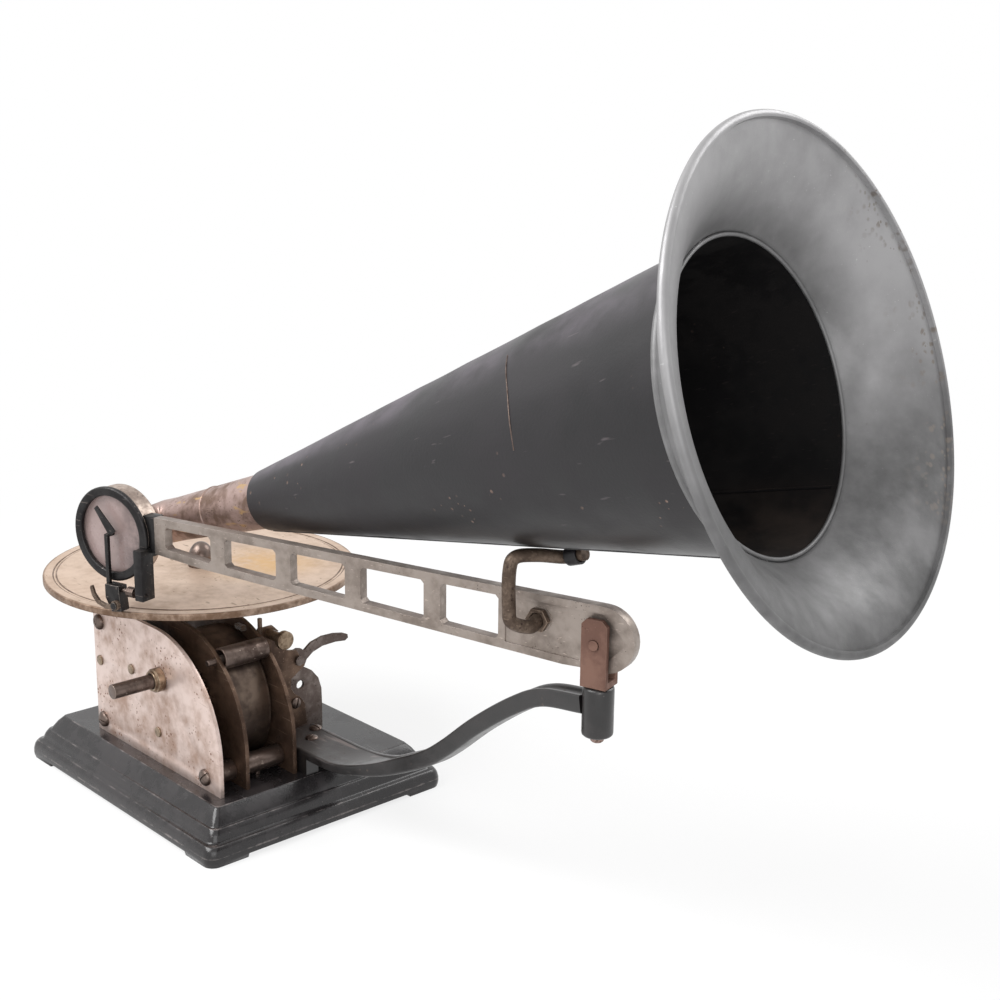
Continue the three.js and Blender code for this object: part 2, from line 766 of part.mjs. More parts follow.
const bridgeRivets = [[-bridgeRivetX, bridgeRivetZ], [bridgeRivetX, bridgeRivetZ]];
const controlRivets = [[controlRivetX, controlRivetLowZ], [controlRivetX, controlRivetHighZ]];
addPiece(machine, 'plate_right', motorPlate(rightInnerY, [
  ...pillarPlaces.map((place) => [place, tenonRadius + gap]), [spacerPlace, tenonRadius + gap],
  [[barrelX, barrelZ], arborJournal + gap], [thirdArbor, trainArborRadius + gap],
  [governorArbor, governorPivotRadius + gap],
  ...bridgeRivets.map((place) => [place, controlRivetRadius + gap]),
  ...controlRivets.map((place) => [place, controlRivetRadius + gap])]), brownNickel);

// Pillars: short ones take the plate screws, long ones are studded into them and riveted to the right plate
pillarPlaces.forEach((place, i) => {
  const short = bar('y', pillarRadius, leftInnerY, middleLeftY, place, smallSides);
  const screwHole = bar('y', screwShankRadius + gap, leftInnerY - overrun, leftInnerY + screwDepth + gap, place,
    smallSides);
  const studHole = bar('y', tenonRadius + gap, middleLeftY - studLength - gap, middleLeftY + overrun, place,
    smallSides);
  addPiece(machine, `pillar_short_${pillarNames[i]}`, short.subtract(screwHole).subtract(studHole), darkSteel);
});

function longPillar(place, studFrom, radius = pillarRadius) {
  const body = bar('y', radius, middleRightY, rightInnerY, place, smallSides);
  return body.add(bar('y', tenonRadius, studFrom, -spindleToPlate, place, smallSides));
}

pillarPlaces.forEach((place, i) => {
  let pillar = longPillar(place, middleLeftY - studLength);
  for (const [x, y] of holdDownPlaces) {
    const tap = bar('z', holdDownRadius + gap, slabFootZ, holdDownTopZ + gap, [x, y], smallSides);
    if (place[1] === pillarLowZ) pillar = pillar.subtract(tap);
  }
  addPiece(machine, `pillar_long_${pillarNames[i]}`, pillar, darkSteel);
});
addPiece(machine, 'pillar_long_front_top', longPillar(spacerPlace, middleLeftY, spacerRadius), darkSteel);

// Domed screws outside the left plate, and the two that hold the motor down from under the slab
pillarPlaces.forEach(([x, z], i) => {
  const screw = domedScrew(plateScrewHead, plateScrewHeight, screwShankRadius, plateThick + screwDepth);
  const piece = addPiece(machine, `plate_screw_${pillarNames[i]}`, screw, darkSteel);
  piece.position.set(x, leftOuterY, z);
  piece.rotation.x = 90 * degrees;
});
holdDownPlaces.forEach(([x, y], i) => {
  const screw = domedScrew(holdDownHead, holdDownHeadHeight, holdDownRadius, holdDownTopZ - slabFootZ);
  const piece = addPiece(machine, `hold_down_screw_${i ? 'front' : 'back'}`, screw, darkSteel);
  piece.position.set(x, y, slabFootZ);
  piece.rotation.x = 180 * degrees;
});

// Winding shaft in its bushing, with the small gear at its inner end
const bushingY = leftOuterY - bushingLength;
const windingBore = windingShaftRadius + gap;
addPiece(machine, 'winding_bushing', turned([[windingBore, bushingY], [bushingLipRadius, bushingY],
  [bushingLipRadius, bushingY + bushingLipLength], [bushingRadius, bushingY + bushingLipLength],
  [bushingRadius, leftOuterY], [bushingSpigot, leftOuterY], [bushingSpigot, leftInnerY], [windingBore, leftInnerY],
  [windingBore, bushingY]], 'y').translate([windingCentre[0], 0, windingCentre[1]]), darkSteel);

const windingGear = gear(windingPinionTeeth, windingPinionRadius, windingWheelThick, windingCentre, windingLayerY,
  Math.PI / windingPinionTeeth - Math.PI / 2);
addPiece(machine, 'winding_shaft', windingGear.add(bar('y', windingShaftRadius, leftOuterY - windingReach,
  windingLayerY, windingCentre)), darkSteel);

// Where the pawl's nose stands, on a line that just clears the tips of the ratchet's teeth
const pawlMeetRadius = ratchetRadius + gap;
const pawlDistance = Math.hypot(pawlStudBack, pawlStudDrop);
const pawlMeetAngle = Math.atan2(-pawlStudDrop, -pawlStudBack) - Math.acos(pawlMeetRadius / pawlDistance);

// Winding arbor: pivots, wheel, ratchet and the core that the spring hooks on
function ratchetOutline() {
  const points = [];
  for (let tooth = 0; tooth < ratchetTeeth; tooth += 1) {
    const angle = pawlMeetAngle - gap * 2 / pawlMeetRadius + 2 * Math.PI * tooth / ratchetTeeth;
    points.push([ratchetRadius * Math.cos(angle), ratchetRadius * Math.sin(angle)]);
    const foot = ratchetRadius - ratchetDepth;
    points.push([foot * Math.cos(angle + gap / foot), foot * Math.sin(angle + gap / foot)]);
  }
  return outline(points);
}

function windingArbor() {
  const coreFrom = barrelLeftY + barrelWall + layerGap;
  const coreTo = barrelRightY - coverThick - layerGap;
  const shoulder = rightInnerY - gap;
  const shaft = turned([[0, leftInnerY - blindDepth + gap], [pivotRadius, leftInnerY - blindDepth + gap],
    [pivotRadius, leftInnerY + gap], [arborRadius, leftInnerY + gap], [arborRadius, coreFrom], [arborCore, coreFrom],
    [arborCore, coreTo], [arborRadius, coreTo], [arborRadius, shoulder], [arborJournal, shoulder],
    [arborJournal, -spindleToPlate], [0, -spindleToPlate]], 'y').translate([barrelX, 0, barrelZ]);
  const wheel = gear(windingWheelTeeth, windingWheelRadius, windingWheelThick, [barrelX, barrelZ], windingLayerY,
    Math.PI / 2);
  const ratchet = plateY(ratchetOutline(), ratchetLayerY - ratchetThick / 2, ratchetLayerY + ratchetThick / 2);
  return joined([shaft, wheel, ratchet.translate([barrelX, 0, barrelZ])]);
}

addPiece(machine, 'winding_arbor', windingArbor(), darkSteel);

// Pawl: a hub on the stud and a nose in the ratchet's teeth
function pawl() {
  const low = ratchetLayerY - ratchetThick / 2;
  const [outX, outZ] = [Math.cos(pawlMeetAngle), Math.sin(pawlMeetAngle)];
  const [noseX, noseZ] = [barrelX + pawlMeetRadius * outX, barrelZ + pawlMeetRadius * outZ];
  const hub = bar('y', pawlHubRadius, low, low + ratchetThick, pawlStud, smallSides);
  const [studX, studZ] = pawlStud;
  const nose = plateY(outline([pawlStud, [noseX, noseZ],
    [noseX + pawlNoseWidth * outX, noseZ + pawlNoseWidth * outZ],
    [studX + pawlRootWidth * outX, studZ + pawlRootWidth * outZ]]), low, low + ratchetThick);
  const bore = bar('y', pawlStudRadius + gap, low - overrun, low + ratchetThick + overrun, pawlStud, smallSides);
  return hub.add(nose).subtract(bore);
}

addPiece(machine, 'pawl', pawl(), darkSteel);

// Spring barrel with the great wheel on its hub, its cover and the spring inside
function springBarrel() {
  const bore = arborRadius + gap;
  const hubY = greatLayerY - greatWheelThick / 2;
  const inside = barrelRadius - barrelWall;
  const drumTo = barrelRightY - coverThick;
  const drum = turned([[bore, hubY], [barrelHubRadius, hubY], [barrelHubRadius, barrelLeftY],
    [barrelRadius, barrelLeftY], [barrelRadius, drumTo], [inside, drumTo], [inside, barrelLeftY + barrelWall],
    [bore, barrelLeftY + barrelWall], [bore, hubY]], 'y', barrelSides).translate([barrelX, 0, barrelZ]);
  const wheel = gear(greatTeeth, greatRadius, greatWheelThick, [barrelX, barrelZ], greatLayerY,
    secondArborAngle * degrees);
  const hubHole = bar('y', arborRadius + gap, hubY - overrun, barrelLeftY, [barrelX, barrelZ]);
  return drum.add(wheel.subtract(hubHole));
}

function mainspring() {
  const outer = barrelRadius - barrelWall - springThick;
  const steps = springTurns * 10;
  const line = (offset) => Array.from({ length: steps + 1 }, (_, i) => {
    const radius = springInner + offset + (outer - springInner) * i / steps;
    const angle = 2 * Math.PI * springTurns * i / steps;
    return [radius * Math.cos(angle), radius * Math.sin(angle)];
  });
  const strip = outline([...line(springThick), ...line(0).reverse()]);
  const from = barrelLeftY + barrelWall + layerGap;
  return plateY(strip, from, barrelRightY - coverThick - layerGap).translate([barrelX, 0, barrelZ]);
}

addPiece(machine, 'spring_barrel', springBarrel(), bluedSteel);
const coverBore = arborRadius + gap;
const coverRadius = barrelRadius - coverInset;
addPiece(machine, 'barrel_cover', turned([[coverBore, barrelRightY - coverThick], [coverRadius,
  barrelRightY - coverThick], [coverRadius, barrelRightY], [coverBore, barrelRightY],
[coverBore, barrelRightY - coverThick]], 'y', barrelSides).translate([barrelX, 0, barrelZ]), bluedSteel);
addPiece(machine, 'mainspring', mainspring(), springSteel);

// Second and third arbors of the train
function trainArbor([x, z], from, to, shoulderFrom, shoulderTo) {
  const parts = [[0, from], [pivotRadius, from], [pivotRadius, shoulderFrom], [trainArborRadius, shoulderFrom],
    [trainArborRadius, shoulderTo], [pivotRadius, shoulderTo], [pivotRadius, to], [0, to]];
  return turned(parts, 'y', smallSides).translate([x, 0, z]);
}

const secondShaft = trainArbor(secondArbor, leftOuterY, middleRightY, leftInnerY + gap, middleLeftY - gap);
addPiece(machine, 'second_arbor', joined([secondShaft,
  gear(secondWheelTeeth, secondWheelRadius, secondWheelThick, secondArbor, secondLayerY, thirdArborAngle * degrees),
  gear(secondPinionTeeth, secondPinionRadius, greatWheelThick, secondArbor, greatLayerY,
    secondArborAngle * degrees + Math.PI + Math.PI / secondPinionTeeth)]), gearBrass);

const crossedHalf = crossedLength / 2;
const thirdShaft = trainArbor(thirdArbor, leftOuterY, crossedHalf, leftInnerY + gap, crossedHalf - gap);
const thirdCrossed = solid(crossedGear(Math.PI / crossedTeeth).rotateX(-90 * degrees));
addPiece(machine, 'third_arbor', joined([thirdShaft,
  gear(thirdPinionTeeth, thirdPinionRadius, secondWheelThick, thirdArbor, secondLayerY,
    thirdArborAngle * degrees + Math.PI + Math.PI / thirdPinionTeeth),
  gear(governorWheelTeeth, governorWheelRadius, governorWheelThick, thirdArbor, governorLayerY,
    governorAngle * degrees),
  thirdCrossed.translate([thirdArbor[0], 0, thirdArbor[1]])]), gearBrass);

// Governor: shaft with a collar, sliding disc and two bowed weights
const [governorX, governorZ] = governorArbor;

function governorShaft() {
  const shaft = turned([[0, middleLeftY], [governorPivotRadius, middleLeftY], [governorPivotRadius, middleRightY + gap],
    [governorShaftRadius, middleRightY + gap], [governorShaftRadius, rightInnerY - gap],
    [governorPivotRadius, rightInnerY - gap], [governorPivotRadius, -spindleToPlate], [0, -spindleToPlate]], 'y',
  smallSides).translate([governorX, 0, governorZ]);
  const collar = bar('y', governorCollarRadius, governorCollarY, governorCollarY + governorCollarLength,
    governorArbor, smallSides);
  return joined([shaft, collar, gear(governorPinionTeeth, governorPinionRadius, governorWheelThick, governorArbor,
    governorLayerY, governorAngle * degrees + Math.PI + Math.PI / governorPinionTeeth)]);
}

function governorDisc() {
  const bore = governorShaftRadius + gap;
  const collarY = governorDiscY - governorCollarLength;
  return turned([[bore, collarY], [governorCollarRadius, collarY], [governorCollarRadius, governorDiscY],
    [governorDiscRadius, governorDiscY], [governorDiscRadius, governorDiscY + governorDiscThick],
    [bore, governorDiscY + governorDiscThick], [bore, collarY]], 'y').translate([governorX, 0, governorZ]);
}

function governorWeight(side) {
  const from = governorCollarY;
  const to = governorDiscY;
  const line = (offset) => leafShares.map((share) => {
    const bow = governorBow * Math.sin(Math.PI * share) ** 2;
    return [side * (governorCollarRadius + gap + bow + offset), from + (to - from - gap) * share];
  });
  const strip = outline([...line(0), ...line(governorLeafThick).reverse()]);
  const leaf = new THREE.ExtrudeGeometry(strip, { depth: governorLeafWidth, bevelEnabled: false });
  const ball = new THREE.SphereGeometry(governorBallRadius, 8, 5);
  const middle = governorCollarRadius + gap + governorBow + governorBallRadius / 2;
  ball.translate(side * middle, (from + to) / 2, 0);
  return solid(leaf.translate(0, 0, -governorLeafWidth / 2)).add(solid(ball)).translate([governorX, 0, governorZ]);
}

addPiece(machine, 'governor_shaft', governorShaft(), gearBrass);
addPiece(machine, 'governor_disc', governorDisc(), gearBrass);
addPiece(machine, 'governor_weight_a', governorWeight(1), gearBrass);
addPiece(machine, 'governor_weight_b', governorWeight(-1), gearBrass);

const brakeX = governorX + brakePadOffset;
const brakeLeaf = block([brakeX - brakeLeafWidth / 2, rightInnerY - brakeLeafThick, governorZ - brakePadSize],
  [brakeX + brakeLeafWidth / 2, rightInnerY, governorZ - brakePadSize + brakeLeafLength]);
const brakePad = block([brakeX - brakePadSize / 2, governorDiscY + governorDiscThick + gap * 2,
  governorZ - brakePadSize / 2], [brakeX + brakePadSize / 2, rightInnerY, governorZ + brakePadSize / 2]);
addPiece(machine, 'governor_brake_leaf', brakeLeaf.add(brakePad), gearBrass);

// Felt pad over the barrel
const feltFootZ = barrelZ + Math.sqrt(barrelRadius ** 2 - (feltX - feltLength / 2 - barrelX) ** 2) + feltLift;
addPiece(machine, 'felt_pad', block([feltX - feltLength / 2, rightInnerY - feltWidth, feltFootZ],
  [feltX + feltLength / 2, rightInnerY, feltFootZ + feltHeight]), brownFelt);

// Spindle, its foot bearing and the bridge that holds its neck
const spindleFootZ = slabTopZ + spindleFootDepth;
const footTopZ = slabTopZ + footBearingHeight;
const footBore = spindleRadius + gap;
addPiece(machine, 'spindle_foot_bearing', turned([[0, slabTopZ], [footBearingRadius, slabTopZ],
  [footBearingRadius, footTopZ], [footBore, footTopZ], [footBore, spindleFootZ], [0, spindleFootZ]], 'z'), darkSteel);

const bridgeTopZ = bridgeZ + bridgeThick / 2;
const bridgeHalf = bridgeWidth / 2;
const bridge = joined([
  block([-bridgeHalf, -spindleToPlate, bridgeTopZ - bridgeThick], [bridgeHalf, bridgeOvershoot, bridgeTopZ]),
  block([-bridgeHalf, -spindleToPlate, bridgeTopZ - bridgeFlangeHeight],
    [bridgeHalf, bridgeFlange - spindleToPlate, bridgeTopZ]),
  ...bridgeRivets.map((place) => bar('y', controlRivetRadius, rightInnerY, -spindleToPlate + bridgeFlange / 2, place,
    smallSides))]);
const neckHole = bar('z', spindleRadius + gap, bridgeZ - bridgeThick, bridgeZ + bridgeThick, [0, 0]);
addPiece(machine, 'spindle_bridge', bridge.subtract(neckHole), darkSteel);

const hubFootZ = turntableTopZ - turntableEdge - hubLength;
const spindleTopZ = turntableTopZ + spindleTenon;
const spindle = turned([[0, spindleFootZ], [spindleRadius, spindleFootZ],
  [spindleRadius, hubFootZ - spindleShoulderLength], [spindleShoulderRadius, hubFootZ - spindleShoulderLength],
  [spindleShoulderRadius, hubFootZ], [spindleRadius, hubFootZ], [spindleRadius, spindleTopZ],
  [0, spindleTopZ]], 'z');
addPiece(machine, 'spindle', spindle.add(solid(crossedGear(0)).translate([0, 0, thirdArbor[1]])), darkSteel);

// Turntable: flat plate with a deeper edge, a groove inside its rim, a hub and a shallow seat for the knob
const knobFootZ = turntableTopZ - knobSeat;

function turntable() {
  const under = turntableTopZ - turntableEdge;
  const rim = turntableRadius;
  const groove = rim - rimGrooveInset;
  const grooveZ = turntableTopZ - rimGrooveDepth;
  const profile = [[footBore, hubFootZ], [hubRadius, hubFootZ], [hubRadius, under + turntableDish],
    [rim - turntableEdge, under + turntableDish], [rim - turntableEdge, under], [rim, under],
    [rim, turntableTopZ - rimChamfer], [rim - rimChamfer, turntableTopZ], [groove, turntableTopZ], [groove, grooveZ],
    [groove - rimGrooveWidth, grooveZ], [groove - rimGrooveWidth, turntableTopZ], [knobRadius + gap, turntableTopZ],
    [knobRadius + gap, knobFootZ], [footBore, knobFootZ], [footBore, hubFootZ]];
  return turned(profile, 'z', turntableSides);
}

addPiece(machine, 'turntable', turntable(), platterNickel);

const knobTopZ = turntableTopZ + knobHeight;
const knobProfile = [[0, spindleTopZ + gap], [footBore, spindleTopZ + gap], [footBore, knobFootZ],
  [knobRadius, knobFootZ], [knobRadius, turntableTopZ + knobSkirt]];
for (const turn of [30, 62]) {
  knobProfile.push([knobRadius * Math.cos(turn * degrees),
    turntableTopZ + knobSkirt + (knobHeight - knobSkirt) * Math.sin(turn * degrees)]);
}
knobProfile.push([0, knobTopZ]);
addPiece(machine, 'turntable_knob', turned(knobProfile, 'z'), darkSteel);

// Grey control bracket between the slab and the right plate
function shaped(shares, left, width, foot, height) {
  return outline(shares.map(([across, up]) => [left + across * width, foot + up * height]));
}

const speedBackX = speedFrontX - speedPlateThick;
const leverFrontX = speedBackX - gap;
const leverBackX = leverFrontX - stopLeverThick;
const controlFrontX = leverBackX - gap;
const controlBackX = controlFrontX - controlThick;
const controlWall = plateX(shaped(controlShares, -spindleToPlate, controlReach, slabTopZ, controlHeight),
  controlBackX, controlFrontX);
const controlHole = bar('x', controlHoleRadius, controlBackX - overrun, controlFrontX + overrun,
  [controlHoleY, controlHoleZ], smallSides);
const controlSide = block([controlFrontX - controlFlange, -spindleToPlate, slabTopZ + layerGap],
  [controlFrontX, controlThick - spindleToPlate, slabTopZ + controlHeight - layerGap]);
addPiece(machine, 'control_bracket', joined([controlWall.subtract(controlHole), controlSide,
  ...controlRivets.map((place) => bar('y', controlRivetRadius, rightInnerY, controlThick / 2 - spindleToPlate,
    place, smallSides))]), greySteel);

// Nickel speed plate with its tab and pin, and its screw into the bracket
const speedPlateTopZ = speedPlateFootZ + speedPlateHeight;
const speedScrewZ = speedPlateTopZ - speedScrewDrop;
const speedPlate = plateX(shaped(speedPlateShares, speedPlateLeftY, speedPlateWidth, speedPlateFootZ,
  speedPlateHeight), speedBackX, speedFrontX);
const speedPin = bar('z', speedPinRadius, speedPlateTopZ - speedPinRoot, speedPlateTopZ + speedPinHeight,
  [(speedBackX + speedFrontX) / 2, speedPinY], smallSides);
const speedHoles = [[stopRivetY, stopRivetZ, stopRivetRadius], [speedPlateScrewY, speedPlateScrewZ,
  screwShankRadius], [speedScrewY, speedScrewZ, speedScrewStem]].map(([y, z, radius]) => bar('x', radius + gap,
  speedBackX - overrun, speedFrontX + overrun, [y, z], smallSides));
const speedSpacer = bar('x', screwHeadRadius, controlFrontX, speedBackX, [speedPlateScrewY, speedPlateScrewZ],
  smallSides);
addPiece(machine, 'speed_plate', joined([speedPlate, speedPin, speedSpacer]).subtract(joined([...speedHoles,
  bar('x', screwShankRadius + gap, controlFrontX - overrun, speedFrontX, [speedPlateScrewY, speedPlateScrewZ],
    smallSides)])), brownNickel);
const plateScrew = addPiece(machine, 'speed_plate_screw', domedScrew(screwHeadRadius, screwHeadHeight,
  screwShankRadius, speedFrontX - controlFrontX - gap), darkSteel);
plateScrew.position.set(speedFrontX, speedPlateScrewY, speedPlateScrewZ);
plateScrew.rotation.y = 90 * degrees;

// Stop lever behind the speed plate, on its rivet
function stopLever() {
  const lobe = bar('x', stopLobeRadius, leverBackX, leverFrontX, [stopRivetY, stopRivetZ]);
  const handle = plateX(shaped(stopHandleShares, stopRivetY, stopHandleLength, stopRivetZ, stopHandleRise),
    leverBackX, leverFrontX);
  const rivet = bar('x', stopRivetRadius, leverBackX, speedFrontX + gap, [stopRivetY, stopRivetZ], smallSides);
  const head = bar('x', stopRivetHead, speedFrontX + gap, speedFrontX + gap + stopRivetHeadThick,
    [stopRivetY, stopRivetZ], smallSides);
  return joined([lobe, handle, rivet, head]);
}

addPiece(machine, 'stop_lever', stopLever(), greySteel);

// Speed screw: stem, collar and flat round head
const speedHeadX = speedFrontX + speedScrewLength;
addPiece(machine, 'speed_screw', turned([[0, speedFrontX - speedScrewTail],
  [speedScrewStem, speedFrontX - speedScrewTail], [speedScrewStem, speedFrontX + gap],
  [speedScrewCollar, speedFrontX + gap], [speedScrewCollar, speedHeadX], [speedScrewHead, speedHeadX],
  [speedScrewHead, speedHeadX + speedScrewHeadThick], [0, speedHeadX + speedScrewHeadThick]], 'x')
  .translate([0, speedScrewY, speedScrewZ]), paleNickel);

// Arm bracket: a flat root on the slab that sweeps up into a ribbed bar and ends in a boss
function bracketWidth(x) {
  const share = THREE.MathUtils.smoothstep(x, bracketTaperX, bracketNarrowX);
  return [THREE.MathUtils.lerp(bracketRootWidth, bracketBarWidth, share),
    THREE.MathUtils.lerp(bracketRootThick, bracketBarThick, share),
    THREE.MathUtils.lerp(bracketRootRib, bracketRibDepth, share)];
}

function bracketBar() {
  const path = new THREE.CatmullRomCurve3(bracketShares.map(([along, up]) => new THREE.Vector3(
    bracketRootX + along * (bracketEndX - bracketRootX), THREE.MathUtils.lerp(bracketRootY, pivotY, along),
    bracketRootZ + up * (bracketEndZ - bracketRootZ))));
  const across = new THREE.Vector3(0, 1, 0);
  const rings = [];
  for (let i = 0; i <= bracketStations; i += 1) {
    const centre = path.getPointAt(i / bracketStations);
    const up = path.getTangentAt(i / bracketStations).cross(across).normalize().negate();
    const [width, thick, rib] = bracketWidth(centre.x);
    const [half, rise] = [width / 2, thick / 2];
    const section = [[-half, -rise], [half, -rise], [half, rise], [half - bracketRib, rise],
      [half - bracketRib, rise - rib], [bracketRib - half, rise - rib], [bracketRib - half, rise], [-half, rise]];
    rings.push(section.map(([side, height]) => centre.clone().addScaledVector(across, side)
      .addScaledVector(up, height)));
  }
  return loft(rings.map((ring) => ring.reverse()));
}

function armBracket() {
  const padTopZ = bracketRootZ;
  const padX = slabFrontX - bracketPadInset;
  const legX = slabFrontX - bracketLegInset;
  const pad = block([padX, bracketPadLowY, slabTopZ], [padX + bracketPadLength, bracketPadHighY, padTopZ]);
  const leg = block([legX, bracketLegY, slabTopZ],
    [legX + bracketLegLength, bracketLegY + bracketLegWidth, padTopZ]);
  const boss = turned([[0, bossFootZ], [bossRadius - bossChamfer, bossFootZ], [bossRadius, bossFootZ + bossChamfer],
    [bossRadius, bossTopZ - bossChamfer], [bossRadius - bossChamfer, bossTopZ], [0, bossTopZ]], 'z')
    .translate([pivotX, pivotY, 0]);
  const bore = bar('z', yokeStemRadius + gap, bossFootZ - overrun, bossTopZ + overrun, [pivotX, pivotY], smallSides);
  const screwHoles = bracketScrewPlaces.map(([x, y]) => bar('z', bracketScrewShank + gap, slabTopZ - overrun,
    bracketScrewTopZ + overrun, [x, y], smallSides));
  const seats = bracketScrewPlaces.map(([x, y]) => bar('z', bracketScrewRadius + gap, bracketScrewTopZ,
    bracketScrewTopZ + overrun, [x, y]));
  return joined([bracketBar(), pad, leg, boss]).subtract(joined([bore, ...screwHoles, ...seats]));
}

const bracketScrewTopZ = bracketRootZ + bracketRootThick / 2 - gap;
addPiece(machine, 'arm_bracket', armBracket(), blackIron);
bracketScrewPlaces.forEach(([x, y], i) => {
  const screw = domedScrew(bracketScrewRadius, screwHeadHeight, bracketScrewShank,
    bracketScrewTopZ - slabTopZ + bracketScrewDepth);
  const piece = addPiece(machine, `bracket_screw_${i ? 'inner' : 'outer'}`, screw, darkSteel);
  piece.position.set(x, y, bracketScrewTopZ);
});

// Everything that swings, placed along the arm: X away from the sound box, Y behind the arm
const swing = new THREE.Group();
swing.position.set(pivotX, pivotY, 0);
swing.rotation.z = armTurnAngle * degrees;
machine.add(swing);

// Yoke with its stem in the boss, cross pin and brass end
const yokeFootZ = bossTopZ + gap;
const yokeHalfWidth = yokeSlot / 2 + yokeCheek;

function yoke() {
  const cheeks = new THREE.Shape();
  cheeks.moveTo(-yokeHalfLength, yokeFootZ);
  cheeks.lineTo(yokeHalfLength, yokeFootZ);
  cheeks.lineTo(yokeHalfLength, yokeTopZ - yokeChamfer);
  cheeks.lineTo(yokeHalfLength - yokeChamfer, yokeTopZ);
  cheeks.lineTo(yokeChamfer - yokeHalfLength, yokeTopZ);
  cheeks.lineTo(-yokeHalfLength, yokeTopZ - yokeChamfer);
  cheeks.holes.push(roundOutline(yokePinRadius + gap, smallSides, 0, yokePinZ));
  const body = plateY(cheeks, -yokeHalfWidth, yokeHalfWidth);
  const slot = block([-yokeHalfLength - overrun, -yokeSlot / 2, yokeFootZ + yokeWebThick],
    [yokeHalfLength + overrun, yokeSlot / 2, yokeTopZ + overrun]);
  const stem = bar('z', yokeStemRadius, bossFootZ - gap, yokeFootZ + yokeWebThick / 2, [0, 0], smallSides);
  const tap = bar('z', brassSpigotRadius + gap, bossFootZ - overrun, bossFootZ + brassSpigotLength, [0, 0],
    smallSides);
  return body.subtract(slot).add(stem).subtract(tap);
}

addPiece(swing, 'yoke', yoke(), redIron);
addPiece(swing, 'yoke_pin', turned([[0, -yokeHalfWidth - yokePinHeadThick - gap],
  [yokePinHead, -yokeHalfWidth - yokePinHeadThick - gap], [yokePinHead, -yokeHalfWidth - gap],
  [yokePinRadius, -yokeHalfWidth - gap], [yokePinRadius, yokeHalfWidth + gap], [yokePinHead, yokeHalfWidth + gap],
  [yokePinHead, yokeHalfWidth + gap + yokePinHeadThick], [0, yokeHalfWidth + gap + yokePinHeadThick]], 'y',
smallSides).translate([0, 0, yokePinZ]), darkSteel);
const brassTopZ = bossFootZ - gap;
addPiece(swing, 'stem_nut', turned([[0, brassTopZ - gap - brassLength], [brassRadius, brassTopZ - gap - brassLength],
  [brassRadius, brassTopZ - gap], [brassSpigotRadius, brassTopZ - gap],
  [brassSpigotRadius, brassTopZ + brassSpigotLength - gap * 2], [0, brassTopZ + brassSpigotLength - gap * 2]], 'z',
smallSides), oldBrass);

// Truss arm: one flat casting with windows, a round end at the yoke and a pocket in its solid end
const armEndZ = armTopZ - armEndRadius;
const armFoot = [[armTipX, armTopZ - armTipDepth], [armKneeX, armTopZ - armKneeDepth],
  [armHeelX, armTopZ - armHeelDepth]];

function armFootZ(x) {
  const [low, high] = x < armKneeX ? [armFoot[0], armFoot[1]] : [armFoot[1], armFoot[2]];
  return THREE.MathUtils.mapLinear(x, low[0], high[0], low[1], high[1]);
}

function armOutline() {
  const shape = new THREE.Shape();
  shape.moveTo(...armFoot[0]);
  shape.lineTo(...armFoot[1]);
  shape.lineTo(...armFoot[2]);
  const footAngle = Math.atan2(armFoot[2][1] - armEndZ, armHeelX - armEndOffset);
  shape.absarc(armEndOffset, armEndZ, armEndRadius, footAngle + 35 * degrees, Math.PI / 2, false);
  shape.lineTo(armTipX, armTopZ);
  return shape;
}

function windowOutline(from, to) {
  const top = armTopZ - armTopRail;
  const corner = armWindowCorner;
  const [footFrom, footTo] = [armFootZ(from) + armFootRail, armFootZ(to) + armFootRail];
  return outline([[from, footFrom + corner], [from + corner, footFrom], [to - corner, footTo], [to, footTo + corner],
    [to, top - corner], [to - corner, top], [from + corner, top], [from, top - corner]]);
}

function truss() {
  const shape = armOutline();
  const struts = armStrutShares.map((share) => THREE.MathUtils.lerp(armFirstWindowX, armLastWindowX, share));
  const lefts = [armFirstWindowX, ...struts.map((x) => x + armStrut / 2)];
  const rights = [...struts.map((x) => x - armStrut / 2), armLastWindowX];
  lefts.forEach((from, i) => shape.holes.push(windowOutline(from, rights[i])));
  shape.holes.push(roundOutline(yokePinRadius + gap, smallSides, 0, yokePinZ));
  shape.holes.push(roundOutline(rodRadius + gap, smallSides, rodNutX, rodNutZ));
  const body = plateY(shape, -armThick / 2, armThick / 2);
  const [from, to] = [armLastWindowX + armRecessMargin, armEndOffset];
  const pocketTop = armTopZ - armRecessMargin;
  const pocket = outline([[from, armFootZ(from) + armRecessMargin], [armHeelX, armFootZ(armHeelX) + armRecessMargin],
    [to, armEndZ - armEndRadius + armRecessMargin], [to + armEndRadius - armRecessMargin, armEndZ],
    [to, pocketTop], [from, pocketTop]]);
  const depth = armThick / 2 - armRecessDepth;
  const faces = [plateY(pocket, -armThick, -depth), plateY(pocket, depth, armThick)];
  const bosses = [[0, yokePinZ], [rodNutX, rodNutZ]].map((place) => plateY(roundOutline(rodNutRadius, roundSides,
    ...place), -armThick, armThick));
  return body.subtract(joined(faces).subtract(joined(bosses)));
}

addPiece(swing, 'arm', truss(), castAluminium);

// Horn: placed on the arm, its own X runs along its axis
const horn = new THREE.Group();
horn.position.set(hornX, hornY, hornZ);
horn.rotation.set(0, -hornTiltAngle * degrees, hornTurnAngle * degrees, 'ZYX');
swing.add(horn);
horn.updateMatrix();
const toHorn = horn.matrix.clone().invert();
const hornAxis = new THREE.Vector3(1, 0, 0).transformDirection(horn.matrix);

function hornRadiusAt(along) {
  return hornNarrowRadius + (hornThroatRadius - hornNarrowRadius) * along / hornConeLength;
}

